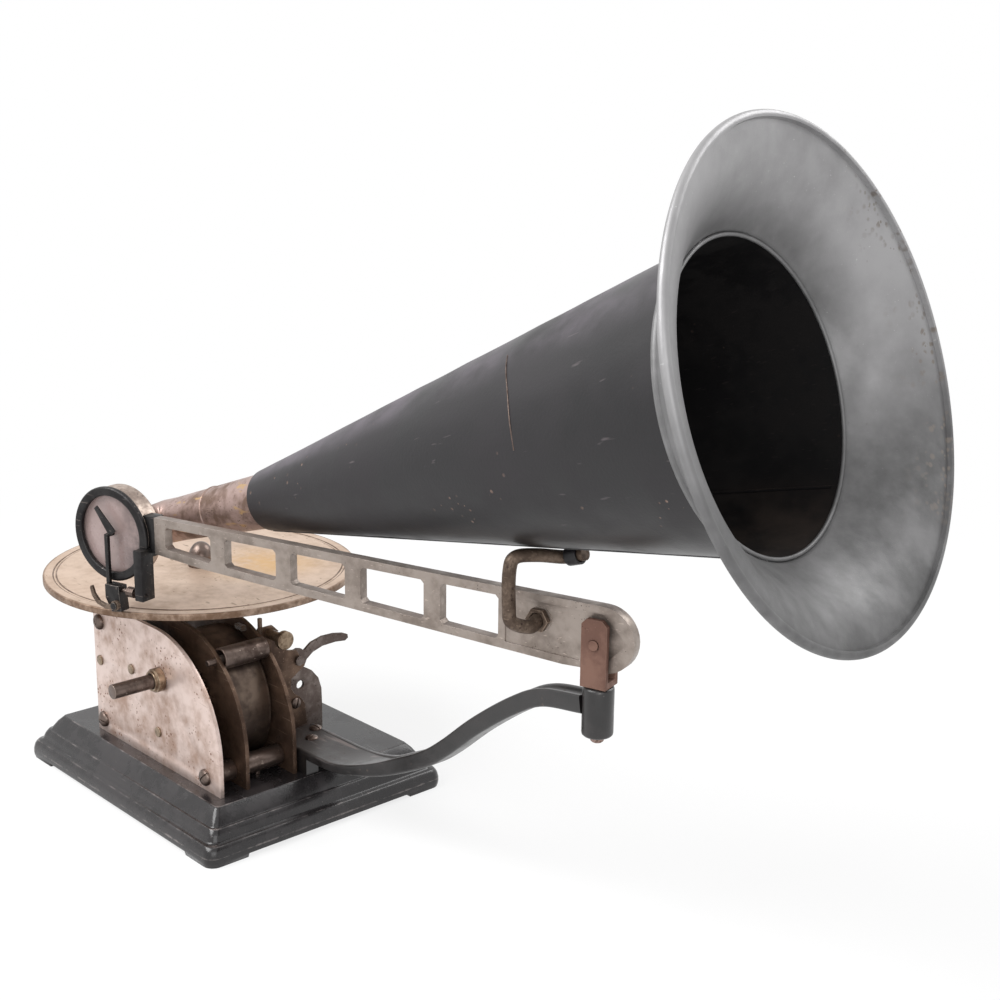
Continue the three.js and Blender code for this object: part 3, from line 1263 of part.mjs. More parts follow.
// Height of the cone's underside over a place along the arm
function hornFootZ(x) {
  const narrow = new THREE.Vector3(0, 0, -hornNarrowRadius).applyMatrix4(horn.matrix);
  const wide = new THREE.Vector3(hornConeLength, 0, -hornThroatRadius).applyMatrix4(horn.matrix);
  return THREE.MathUtils.mapLinear(x, narrow.x, wide.x, narrow.z, wide.z);
}

// Rod from the arm's side, up past the horn and in under it along the horn's axis
const rodTipDrop = hornRadiusAt(rodTipReach) + rodTipClearance;
const rodTip = new THREE.Vector3(rodTipReach, rodTipSide, -rodTipDrop).applyMatrix4(horn.matrix);
const rodTopZ = hornFootZ(rodUprightX) - rodCrestClearance;
const rodShoulderZ = rodTopZ - rodShoulderDrop;
const halfArm = armThick / 2;

function hornRod() {
  const lastRun = rodTip.clone().addScaledVector(hornAxis, -rodTipRun);
  const places = [[rodNutX, halfArm, rodNutZ], [rodNutX, -halfArm, rodNutZ],
    [rodNutX, -halfArm - rodNutThick, rodNutZ], [rodNutX - gap, -rodOutset * rodDipShare, rodLowZ + gap],
    [rodUprightX + rodRadius / 2, -rodOutset, rodLowZ + rodRadius],
    [rodUprightX, -rodOutset, (rodLowZ + rodShoulderZ) / 2 - rodRadius],
    [rodUprightX, -rodOutset, rodShoulderZ], [rodUprightX + rodRadius / 2, -rodOutset * rodCrestShare, rodTopZ - gap],
    [(rodUprightX + lastRun.x) / 2, -rodOutset * rodReturnShare, rodTopZ]];
  const path = new THREE.CatmullRomCurve3([...places.map((place) => new THREE.Vector3(...place)), lastRun,
    lastRun.clone().lerp(rodTip, 1 / 3), lastRun.clone().lerp(rodTip, 2 / 3), rodTip], false, 'centripetal');
  return bentBar(path, rodRadius, 24);
}

addPiece(swing, 'horn_rod', hornRod(), brownRod);
const nut = plateY(roundOutline(rodNutRadius, 6, rodNutX, rodNutZ), -halfArm - rodNutThick, -halfArm);
addPiece(swing, 'rod_nut', nut.translate([0, -gap, 0]).subtract(bar('y', rodRadius + gap * 2, -armThick * 2, 0,
  [rodNutX, rodNutZ], smallSides)), brownRod);

// Horn cone with the keeper that takes the rod's tip
function hornCone() {
  const inner = (along) => hornRadiusAt(along) - hornWall;
  const shell = turned([[inner(0), 0], [hornRadiusAt(0), 0], [hornRadiusAt(hornConeLength), hornConeLength],
    [inner(hornConeLength), hornConeLength], [inner(0), 0]], 'x', hornSides);
  const hollow = turned([[0, 0], [inner(0), 0], [inner(hornConeLength), hornConeLength], [0, hornConeLength]], 'x',
    hornSides);
  const tip = rodTip.clone().applyMatrix4(toHorn);
  const keeperTo = tip.x - keeperBehindTip;
  const keeperFrom = keeperTo - keeperLength;
  const ring = bar('x', keeperRadius, keeperFrom, keeperTo, [tip.y, tip.z], smallSides);
  const web = block([keeperFrom, tip.y - keeperWebWidth / 2, tip.z],
    [keeperTo, tip.y + keeperWebWidth / 2, -hornRadiusAt(keeperFrom) + hornWall]);
  const bore = bar('x', rodRadius + gap, keeperFrom - overrun, keeperTo + overrun, [tip.y, tip.z], smallSides);
  return shell.add(ring.add(web).subtract(bore).subtract(hollow));
}

addPiece(horn, 'horn_cone', hornCone(), hornJapan);

// Bell: a wide flare from a collar round the cone's end to a rolled rim
function hornBell() {
  const seat = hornThroatRadius + gap;
  const start = hornConeLength - bellCollar;
  const mouth = hornConeLength + bellDepth;
  const beadCentre = bellRadius - bellBead;
  const line = flareShares.map((share) => [seat + (beadCentre - seat) * share,
    hornConeLength + bellDepth * (1 - (1 - share) ** bellFlare)]);
  const outer = line.map(([radius, along], i) => {
    const slope = (bellDepth * bellFlare * (1 - flareShares[i]) ** (bellFlare - 1)) / (beadCentre - seat);
    const length = Math.hypot(1, slope);
    return [radius + hornWall * slope / length, along - hornWall / length];
  });
  const bead = beadTurns.map((turn) => [beadCentre + bellBead * Math.cos(turn * degrees),
    mouth + bellBead * Math.sin(turn * degrees)]);
  return turned([[seat, start], [seat + hornWall, start], ...outer, ...bead, ...line.reverse(), [seat, start]], 'x',
    hornSides);
}

addPiece(horn, 'horn_bell', hornBell(), greyTin);

// Elbow: leaves the sound box's back, bends and widens to the horn's narrow end
function elbow() {
  const mouth = new THREE.Vector3(hornX, hornY, hornZ);
  const bendRun = (boxX - hornX) / hornAxis.x;
  const corner = mouth.clone().addScaledVector(hornAxis, bendRun);
  const root = new THREE.Vector3(boxX, boxBackY - elbowNeckDepth, boxZ);
  const neck = corner.clone().sub(root).normalize();
  const bendFrom = corner.clone().addScaledVector(neck, -elbowBendRun);
  const bendTo = corner.clone().addScaledVector(hornAxis, elbowBendRun);
  const bend = new THREE.QuadraticBezierCurve3(bendFrom, corner, bendTo);
  const places = [root, ...bendShares.map((share) => bend.getPoint(share)),
    bendTo.clone().lerp(mouth, 0.5), mouth, mouth.clone().addScaledVector(hornAxis, elbowSpigot)];
  const radii = [elbowNeckRadius, elbowNeckRadius + elbowWall, elbowBendRadius - elbowWall,
    elbowBendRadius - elbowWall / 2, elbowBendRadius, elbowBendRadius, elbowBendRadius + elbowWall / 2,
    elbowBendRadius + elbowWall, (elbowBendRadius + elbowWall + elbowMouthRadius) / 2, elbowMouthRadius,
    elbowMouthRadius];
  const normal = neck.clone().cross(hornAxis).normalize();
  const ringAt = (i, radius, shift) => {
    const ahead = places[Math.min(i + 1, places.length - 1)];
    const tangent = ahead.clone().sub(places[Math.max(i - 1, 0)]).normalize();
    const side = tangent.clone().cross(normal);
    const centre = places[i].clone().addScaledVector(tangent, shift);
    return Array.from({ length: roundSides }, (_, k) => {
      const angle = 2 * Math.PI * k / roundSides;
      return centre.clone().addScaledVector(normal, radius * Math.cos(angle))
        .addScaledVector(side, radius * Math.sin(angle));
    });
  };
  const last = places.length - 1;
  const shiftAt = (i) => (i === 0 ? -overrun : 0) + (i === last ? overrun : 0);
  const skin = loft(places.map((_, i) => ringAt(i, radii[i], 0)));
  return skin.subtract(loft(places.map((_, i) => ringAt(i, radii[i] - elbowWall, shiftAt(i)))));
}

addPiece(swing, 'elbow', elbow(), oldBrass);

// Sound box housing: a cup with a collar round the elbow, a block to the arm and a lug for the holder
const boxPlace = [boxX, 0, boxZ];
const ringBackY = boxFrontY + boxRingThick;
const housingFrontY = ringBackY + gap;

function soundBoxHousing() {
  const neckHole = elbowNeckRadius + gap * 1.5;
  const inside = boxRadius - boxWall;
  const backY = boxBackY + boxCollarLength;
  const cup = turned([[neckHole, boxBackY - boxBackWall], [inside, boxBackY - boxBackWall], [inside, housingFrontY],
    [boxRadius, housingFrontY], [boxRadius, boxBackY - boxEdge], [boxRadius - boxEdge, boxBackY],
    [boxCollarRadius, boxBackY], [boxCollarRadius, backY], [neckHole + elbowWall, backY],
    [neckHole + elbowWall, boxBackY - boxEdge], [neckHole, boxBackY - boxEdge], [neckHole, boxBackY - boxBackWall]],
  'y', boxSides).translate(boxPlace);
  const hollow = bar('y', inside, housingFrontY - overrun, boxBackY - boxBackWall, [boxX, boxZ], boxSides);
  const armBlock = block([boxBlockLeftX, boxBlockLowY, armTopZ - armTipDepth],
    [armTipX - gap, boxBlockHighY, armTopZ]);
  const lug = block([boxLugLeftX, boxLugFrontY, boxLugLowZ], [boxLugRightX, boxLugBackY + boxWall, boxLugHighZ]);
  const bridgeBlock = block([boxLugLeftX, boxBlockLowY, boxLugHighZ - boxBackWall * 2],
    [boxLugRightX, boxBlockHighY, boxLugHighZ]);
  const ringRoom = bar('y', boxRingRadius + gap, boxFrontY - boxRingThick * 2, housingFrontY, [boxX, boxZ], boxSides);
  const screwHole = bar('x', pivotScrewRadius + gap, boxLugLeftX - overrun, boxLugRightX + overrun,
    [stylusAxisY, stylusAxisZ], smallSides);
  const fittings = joined([armBlock, lug, bridgeBlock]).subtract(hollow).subtract(ringRoom).subtract(screwHole);
  return cup.add(fittings);
}

addPiece(swing, 'soundbox_housing', soundBoxHousing(), gunMetal);
addPiece(swing, 'soundbox_ring', turned([[boxRingInner, boxFrontY], [boxRingRadius - boxEdge, boxFrontY],
  [boxRingRadius, boxFrontY + boxEdge], [boxRingRadius, ringBackY], [boxRingInner, ringBackY],
  [boxRingInner, boxFrontY]], 'y', boxSides).translate(boxPlace), gunMetal);
const diaphragmY = housingFrontY + diaphragmSet;
addPiece(swing, 'diaphragm', bar('y', diaphragmRadius, diaphragmY, diaphragmY + diaphragmThick, [boxX, boxZ],
  boxSides), mica);

// Screw on which the holder rocks, with its nut beside the lug
addPiece(swing, 'holder_pivot_screw', turned([[0, holderRightX - pivotScrewTip + gap],
  [pivotScrewRadius, holderRightX - pivotScrewTip + gap], [pivotScrewRadius, pivotNutLeftX],
  [pivotNutRadius, pivotNutLeftX], [pivotNutRadius, pivotNutRightX], [pivotScrewRadius, pivotNutRightX],
  [pivotScrewRadius, boxLugRightX], [0, boxLugRightX]], 'x', smallSides)
  .translate([0, stylusAxisY, stylusAxisZ]), darkSteel);

// Needle holder that rocks on the screw, with the stud for the needle lever
const holderLeftX = holderRightX - holderWidth;
const holderFrontY = stylusAxisY - holderThick / 2;
const holderBackY = stylusAxisY + holderThick / 2;

function needleHolder() {
  const body = plateY(shaped(holderShares, holderLeftX, holderWidth, holderFootZ, holderTopZ - holderFootZ),
    holderFrontY, holderBackY);
  const screwHole = bar('x', pivotScrewRadius + gap, holderRightX - pivotScrewTip, holderRightX + overrun,
    [stylusAxisY, stylusAxisZ], smallSides);
  const barRoom = block([boxX - stylusBarWidth / 2 - gap, stylusAxisY - stylusBarThick / 2 - gap,
    stylusAxisZ - gap], [boxX + stylusBarWidth / 2 + gap, stylusAxisY + stylusBarThick / 2 + gap,
    holderTopZ + overrun]);
  const pin = bar('y', leverPinRadius, holderFrontY - leverThick - gap * 2, stylusAxisY, [leverPinX, leverPinZ],
    smallSides);
  const head = bar('y', leverPinHead, holderFrontY - leverThick - gap * 2 - leverPinHeadThick,
    holderFrontY - leverThick - gap * 2, [leverPinX, leverPinZ], smallSides);
  return body.subtract(screwHole).subtract(barRoom).add(pin).add(head);
}

addPiece(swing, 'needle_holder', needleHolder(), darkSteel);

// Stylus bar from the holder to the diaphragm's middle, with its flat leaf
function stylusBar() {
  const [front, back] = [stylusAxisY - stylusBarThick / 2, stylusAxisY + stylusBarThick / 2];
  const upright = block([boxX - stylusBarWidth / 2, front, stylusAxisZ],
    [boxX + stylusBarWidth / 2, back, stylusBarTopZ]);
  const peen = bar('y', stylusPeenRadius, stylusAxisY, diaphragmY - stylusPeenClear, [boxX, boxZ], smallSides);
  const leafAngle = Math.atan2(leafTipZ - leafRootZ, leafTipX - leafRootX);
  const [sideX, sideZ] = [-Math.sin(leafAngle), Math.cos(leafAngle)];
  const corner = (x, z, reach) => [x + sideX * reach, z + sideZ * reach];
  const leaf = plateY(outline([corner(leafRootX, leafRootZ, -leafRootWidth / 2), corner(leafTipX, leafTipZ,
    -leafTipWidth / 2), corner(leafTipX, leafTipZ, leafTipWidth / 2), corner(leafRootX, leafRootZ,
    leafRootWidth / 2)]), back - leafThick, back);
  return joined([upright, peen, leaf]);
}

addPiece(swing, 'stylus_bar', stylusBar(), darkSteel);

// Needle lever in front of the holder
function needleLever() {
  const from = holderFrontY - gap - leverThick;
  const eye = bar('y', leverEyeRadius, from, from + leverThick, [leverPinX, leverPinZ], smallSides);
  const handle = plateY(outline(leverShares.map(([along, up]) => [leverPinX - along * leverSpan,
    leverPinZ + up * leverRise])), from, from + leverThick);
  const bore = bar('y', leverPinRadius + gap, from - overrun, from + leverThick + overrun, [leverPinX, leverPinZ],
    smallSides);
  return eye.add(handle).subtract(bore);
}

addPiece(swing, 'needle_lever', needleLever(), brownRod);

// The whole machine, centred over the middle of its own outline and standing on the ground
machine.updateMatrixWorld(true);
const extent = new THREE.Box3().setFromObject(machine, true);
const middle = extent.getCenter(new THREE.Vector3());
machine.position.set(-middle.x, -middle.y, -extent.min.z);

export default machine;
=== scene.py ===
import json
import math

import bmesh
import bpy
from mathutils import Matrix, Vector, noise


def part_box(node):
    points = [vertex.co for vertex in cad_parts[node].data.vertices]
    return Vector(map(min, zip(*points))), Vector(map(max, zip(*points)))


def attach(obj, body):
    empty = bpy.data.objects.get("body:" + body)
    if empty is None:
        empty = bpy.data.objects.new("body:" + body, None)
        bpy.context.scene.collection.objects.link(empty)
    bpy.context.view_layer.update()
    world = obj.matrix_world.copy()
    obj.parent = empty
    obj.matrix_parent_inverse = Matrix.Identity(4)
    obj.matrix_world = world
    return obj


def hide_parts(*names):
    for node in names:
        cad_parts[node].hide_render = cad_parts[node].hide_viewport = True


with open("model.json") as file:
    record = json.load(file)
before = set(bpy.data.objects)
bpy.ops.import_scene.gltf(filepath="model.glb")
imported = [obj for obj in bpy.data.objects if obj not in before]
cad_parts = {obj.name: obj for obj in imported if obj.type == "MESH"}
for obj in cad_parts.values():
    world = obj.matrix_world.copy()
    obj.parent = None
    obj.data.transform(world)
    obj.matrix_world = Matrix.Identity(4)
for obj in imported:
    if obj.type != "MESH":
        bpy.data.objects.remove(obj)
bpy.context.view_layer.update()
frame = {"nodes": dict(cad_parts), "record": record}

nodes = frame["nodes"]
behaviour = frame["record"]["behaviour"]
bodyOf = {name: body for body, members in behaviour["bodies"].items() for name in members}
slotOf = {part["node"]: part["material_slot"] for part in frame["record"]["subparts"]}
print("frame loaded:", len(nodes), "nodes")

# All drawings below are in millimetres, measured from the spindle's foot on the table.
spindleLow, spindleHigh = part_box("spindle")
spindleX, spindleY = [(spindleLow[i] + spindleHigh[i]) / 2 for i in range(2)]
benchFrame = Matrix.Translation((spindleX, spindleY, 0))


def mmShift(x, y, z):
    return Matrix.Translation((x / 1000, y / 1000, z / 1000))


def turnBy(degrees, axis):
    return Matrix.Rotation(math.radians(degrees), 4, axis)


def benchSpot(low, high):
    # middle of a box of the frame in x and z; the turned profiles hold their own y
    return ((low[0] + high[0]) / 2 - spindleX) * 1000, 0, (low[2] + high[2]) / 2 * 1000


# Arm frame: x runs away from the sound box, y points behind the arm. Horn frame: x runs out of the horn.
armPlace = {"pivot": (312.1, 6.1, 0), "turn": 16, "mouth": (-202.6, 24.1, 183),
            "hornTurn": -7.4, "hornRise": -18}
armFrame = benchFrame @ mmShift(*armPlace["pivot"]) @ turnBy(armPlace["turn"], "Z")
hornFrame = (armFrame @ mmShift(*armPlace["mouth"]) @ turnBy(armPlace["hornTurn"], "Z")
             @ turnBy(armPlace["hornRise"], "Y"))

# Camera at the photograph's place
view = {"place": (0.58341, -0.49161, 0.39117), "right": (0.6791, 0.734, 0.0121),
        "up": (-0.1954, 0.1648, 0.9668), "lens": 57.3, "sensor": 36, "nearest": 0.01}
lens = bpy.data.cameras.new("studioCamera")
lens.lens, lens.sensor_width, lens.clip_start = view["lens"], view["sensor"], view["nearest"]
cameraPiece = bpy.data.objects.new("studioCamera", lens)
bpy.context.collection.objects.link(cameraPiece)
rightWay, upWay = Vector(view["right"]).normalized(), Vector(view["up"]).normalized()
turn = Matrix((rightWay, upWay, rightWay.cross(upWay))).transposed().to_4x4()
cameraPiece.matrix_world = Matrix.Translation(view["place"]) @ turn
bpy.context.scene.camera = cameraPiece
bpy.context.scene.view_settings.view_transform = "Standard"


# Small node helpers
def addNode(tree, kind, **values):
    node = tree.nodes.new(kind)
    for key, value in values.items():
        if hasattr(node, key) and key not in node.inputs:
            setattr(node, key, value)
        else:
            node.inputs[key].default_value = value
    return node


def feed(tree, socket, value):
    # a number or a colour sits on the socket itself, a socket is linked
    if isinstance(value, (int, float, tuple)):
        socket.default_value = value
    else:
        tree.links.new(value, socket)


def shade(red, green, blue):
    # colour as picked on screen, turned to scene light
    shares = [c / 255 for c in (red, green, blue)]
    return tuple(s / 12.92 if s < 0.0404 else ((s + 0.055) / 1.055) ** 2.4 for s in shares) + (1,)


def mathNode(tree, operation, *values):
    node = addNode(tree, "ShaderNodeMath", operation=operation)
    for slot, value in enumerate(values):
        feed(tree, node.inputs[slot], value)
    return node.outputs[0]


def times(tree, first, second):
    return mathNode(tree, "MULTIPLY", first, second)


def plus(tree, first, second):
    return mathNode(tree, "ADD", first, second)


def partly(tree, value, share):
    # only a share of the value counts, the rest stays at one
    return plus(tree, times(tree, value, share), 1 - share)


def reachOf(tree, first, second):
    return mathNode(tree, "SQRT", plus(tree, times(tree, first, first), times(tree, second, second)))


def spread(tree, value, low, high, toLow=0.0, toHigh=1.0):
    node = addNode(tree, "ShaderNodeMapRange", interpolation_type="SMOOTHSTEP")
    limits = {"Value": value, "From Min": low, "From Max": high, "To Min": toLow, "To Max": toHigh}
    for label, limit in limits.items():
        feed(tree, node.inputs[label], limit)
    return node.outputs["Result"]


def placeOf(tree, kind="Object"):
    return tree.nodes.new("ShaderNodeTexCoord").outputs[kind]


def axes(tree, kind="Object"):
    # x, y and z of the piece's own coordinates or of its normal
    split = tree.nodes.new("ShaderNodeSeparateXYZ")
    tree.links.new(placeOf(tree, kind), split.inputs[0])
    return list(split.outputs)


def noiseNode(tree, place, scale, detail, roughness):
    node = addNode(tree, "ShaderNodeTexNoise", Detail=detail, Roughness=roughness)
    tree.links.new(place, node.inputs["Vector"])
    feed(tree, node.inputs["Scale"], scale)
    return node.outputs["Fac"]


def startGroup(name, result, **inputs):
    # a shared effect with numbers as its inputs and one number as its result
    group = bpy.data.node_groups.new(name, "ShaderNodeTree")
    for label, value in inputs.items():
        socket = group.interface.new_socket(label, in_out="INPUT", socket_type="NodeSocketFloat")
        socket.default_value = value
    group.interface.new_socket(result, in_out="OUTPUT", socket_type="NodeSocketFloat")
    return group, group.nodes.new("NodeGroupInput").outputs, group.nodes.new("NodeGroupOutput").inputs[result]


def tarnishGroup():
    # cloudy tarnish: two sizes of noise on the piece itself
    group, given, result = startGroup("tarnishClouds", "Mask", Scale=30, Low=0.4, High=0.6)
    place = placeOf(group)
    broad = noiseNode(group, place, given["Scale"], 6, 0.62)
    fine = noiseNode(group, place, times(group, given["Scale"], 5.3), 3, 0.5)
    both = plus(group, times(group, broad, 0.72), times(group, fine, 0.28))
    group.links.new(spread(group, both, given["Low"], given["High"]), result)
    return group


def pitGroup():
    # rust and corrosion pits: small round cells that only some patches of the surface have
    group, given, result = startGroup("rustPits", "Mask", Scale=400, Size=0.3, Patches=0.5)
    place = placeOf(group)
    cells = group.nodes.new("ShaderNodeTexVoronoi")
    group.links.new(place, cells.inputs["Vector"])
    group.links.new(given["Scale"], cells.inputs["Scale"])
    patches = noiseNode(group, place, times(group, given["Scale"], 0.11), 4, 0.6)
    chance = group.nodes.new("ShaderNodeSeparateColor")
    group.links.new(cells.outputs["Color"], chance.inputs[0])
    radius = times(group, given["Size"], chance.outputs[0])
    dot = spread(group, cells.outputs["Distance"], radius, times(group, radius, 0.45))
    where = spread(group, patches, given["Patches"], plus(group, given["Patches"], 0.12))
    group.links.new(times(group, dot, where), result)
    return group


def edgeGroup():
    # wear along edges: the bevelled copies carry an "edge" value on their rounded corners; on the black iron
    # the same strips are partly painted highlights
    group, given, result = startGroup("edgeWear", "Mask", Amount=1, Scale=120)
    edge = addNode(group, "ShaderNodeAttribute", attribute_name="edge")
    chips = noiseNode(group, placeOf(group), given["Scale"], 5, 0.7)
    worn = spread(group, times(group, edge.outputs["Fac"], chips), 0.3, 0.5)
    group.links.new(times(group, worn, given["Amount"]), result)
    return group


def scratchGroup():
    # long fine scratches: noise stretched along one way of the piece
    group, given, result = startGroup("wearScratches", "Mask", Across=900, Along=20, Turn=0, Cut=0.62)
    lay = addNode(group, "ShaderNodeVectorRotate", rotation_type="Y_AXIS")
    stretch = group.nodes.new("ShaderNodeCombineXYZ")
    scaled = addNode(group, "ShaderNodeVectorMath", operation="MULTIPLY")
    group.links.new(placeOf(group), lay.inputs["Vector"])
    group.links.new(given["Turn"], lay.inputs["Angle"])
    for slot, label in enumerate(("Along", "Across", "Across")):
        group.links.new(given[label], stretch.inputs[slot])
    group.links.new(lay.outputs[0], scaled.inputs[0])
    group.links.new(stretch.outputs[0], scaled.inputs[1])
    lines = noiseNode(group, scaled.outputs[0], 1, 2, 0.5)
    group.links.new(spread(group, lines, given["Cut"], plus(group, given["Cut"], 0.07)), result)
    return group


def grainGroup():
    # fine grain of cast, sheet or felt surfaces
    group, given, result = startGroup("surfaceGrain", "Height", Scale=1500, Swell=60, Share=0.6)
    place = placeOf(group)
    fine = noiseNode(group, place, given["Scale"], 3, 0.6)
    swell = noiseNode(group, place, given["Swell"], 2, 0.4)
    low = times(group, swell, mathNode(group, "SUBTRACT", 1, given["Share"]))
    group.links.new(plus(group, low, times(group, fine, given["Share"])), result)
    return group


def dustAndHighlightGroup():
    # dust that settles where the piece faces up; on the horn the same mask is a painted highlight along its
    # upper side
    group, given, result = startGroup("upFacingDustAndHighlight", "Mask", Amount=0.3, Scale=40)
    clouds = noiseNode(group, placeOf(group), given["Scale"], 5, 0.6)
    up = spread(group, axes(group, "Normal")[2], 0.55, 0.95)
    dustAndHighlightMask = times(group, up, spread(group, clouds, 0.3, 0.7))
    group.links.new(times(group, dustAndHighlightMask, given["Amount"]), result)
    return group


tarnish, pits, edges = tarnishGroup(), pitGroup(), edgeGroup()
scratches, grain, dustAndHighlight = scratchGroup(), grainGroup(), dustAndHighlightGroup()
print("shader groups made")


def useGroup(tree, group, **values):
    return addNode(tree, "ShaderNodeGroup", node_tree=group, **values).outputs[0]


def blendColor(tree, mask, under, over):
    # a tuple is a colour as picked on screen
    node = addNode(tree, "ShaderNodeMix", data_type="RGBA")
    tree.links.new(mask, node.inputs["Factor"])
    for slot, value in ((6, under), (7, over)):
        feed(tree, node.inputs[slot], shade(*value) if isinstance(value, tuple) else value)
    return node.outputs[2]


def addBump(tree, shader, height, strength, distance):
    bump = addNode(tree, "ShaderNodeBump", Strength=strength, Distance=distance)
    tree.links.new(height, bump.inputs["Height"])
    tree.links.new(bump.outputs[0], shader.inputs["Normal"])


def startFinish(name):
    finish = bpy.data.materials.new(name)
    finish.use_nodes = True
    return finish, finish.node_tree, finish.node_tree.nodes["Principled BSDF"]


def reopen(finish):
    # an aged finish that gets more layers: its tree, its shader and its colour so far
    shader = finish.node_tree.nodes["Principled BSDF"]
    return finish.node_tree, shader, shader.inputs["Base Color"].links[0].from_socket


wear = {"pitRough": 0.3, "dustAndHighlightRough": 0.35, "pitDull": 0.8, "pitDepth": 0.8}
extraSockets = {"coat": "Coat Weight", "coatRough": "Coat Roughness", "sheen": "Sheen Weight",
                "sheenRough": "Sheen Roughness", "specular": "Specular IOR Level"}


def agedFinish(name, look):
    # one aged surface: clouds of tarnish, scratches, pits, worn edges (on the black iron partly painted
    # highlights), dust (on the horn a painted highlight), then grain in the bump
    finish, tree, shader = startFinish(name)
    clouds = useGroup(tree, tarnish, Scale=look.get("cloudScale", 35), Low=look.get("cloudLow", 0.42),
                      High=look.get("cloudHigh", 0.6))
    lines = useGroup(tree, scratches, Across=look.get("scratchAcross", 1100),
                     Along=look.get("scratchAlong", 40), Turn=look.get("scratchTurn", 0),
                     Cut=look.get("scratchCut", 0.66))
    spots = useGroup(tree, pits, Scale=look.get("pitScale", 420), Size=look.get("pitSize", 0.42),
                     Patches=look.get("pitPatches", 0.52))
    worn = useGroup(tree, edges, Amount=look.get("edgeAmount", 0.8), Scale=look.get("edgeScale", 130))
    dustAndHighlightMask = useGroup(tree, dustAndHighlight, Amount=look.get("dustAndHighlight", 0.15), Scale=look.get("dustAndHighlightScale", 45))
    color = blendColor(tree, clouds, look["base"], look["tarnish"])
    for mask, over in ((lines, look.get("scratchColor", look["base"])), (spots, look["pits"]),
                       (worn, look.get("edge", look["base"])),
                       (dustAndHighlightMask, look.get("dustAndHighlightColor", (120, 108, 96)))):
        color = blendColor(tree, mask, color, over)
    rough = plus(tree, spread(tree, clouds, 0, 1, *look["rough"]), times(tree, spots, wear["pitRough"]))
    rough = plus(tree, rough, times(tree, dustAndHighlightMask, wear["dustAndHighlightRough"]))
    if "metal" in look:
        covered = mathNode(tree, "MAXIMUM", times(tree, spots, wear["pitDull"]), dustAndHighlightMask)
        bare = times(tree, mathNode(tree, "SUBTRACT", 1, covered), look["metal"])
        tree.links.new(bare, shader.inputs["Metallic"])
    elif "edgeMetal" in look:
        tree.links.new(times(tree, worn, look["edgeMetal"]), shader.inputs["Metallic"])
    height = useGroup(tree, grain, Scale=look.get("grainScale", 1600), Swell=look.get("swell", 60),
                      Share=look.get("grainShare", 0.6))
    for mask, depth in ((spots, wear["pitDepth"]), (lines, look.get("scratchDepth", 0.25))):
        height = mathNode(tree, "SUBTRACT", height, times(tree, mask, depth))
    addBump(tree, shader, height, look.get("bump", 0.25), look.get("bumpDistance", 0.0004))
    tree.links.new(color, shader.inputs["Base Color"])
    tree.links.new(rough, shader.inputs["Roughness"])
    for key, label in extraSockets.items():
        if key in look:
            shader.inputs[label].default_value = look[key]
    return finish


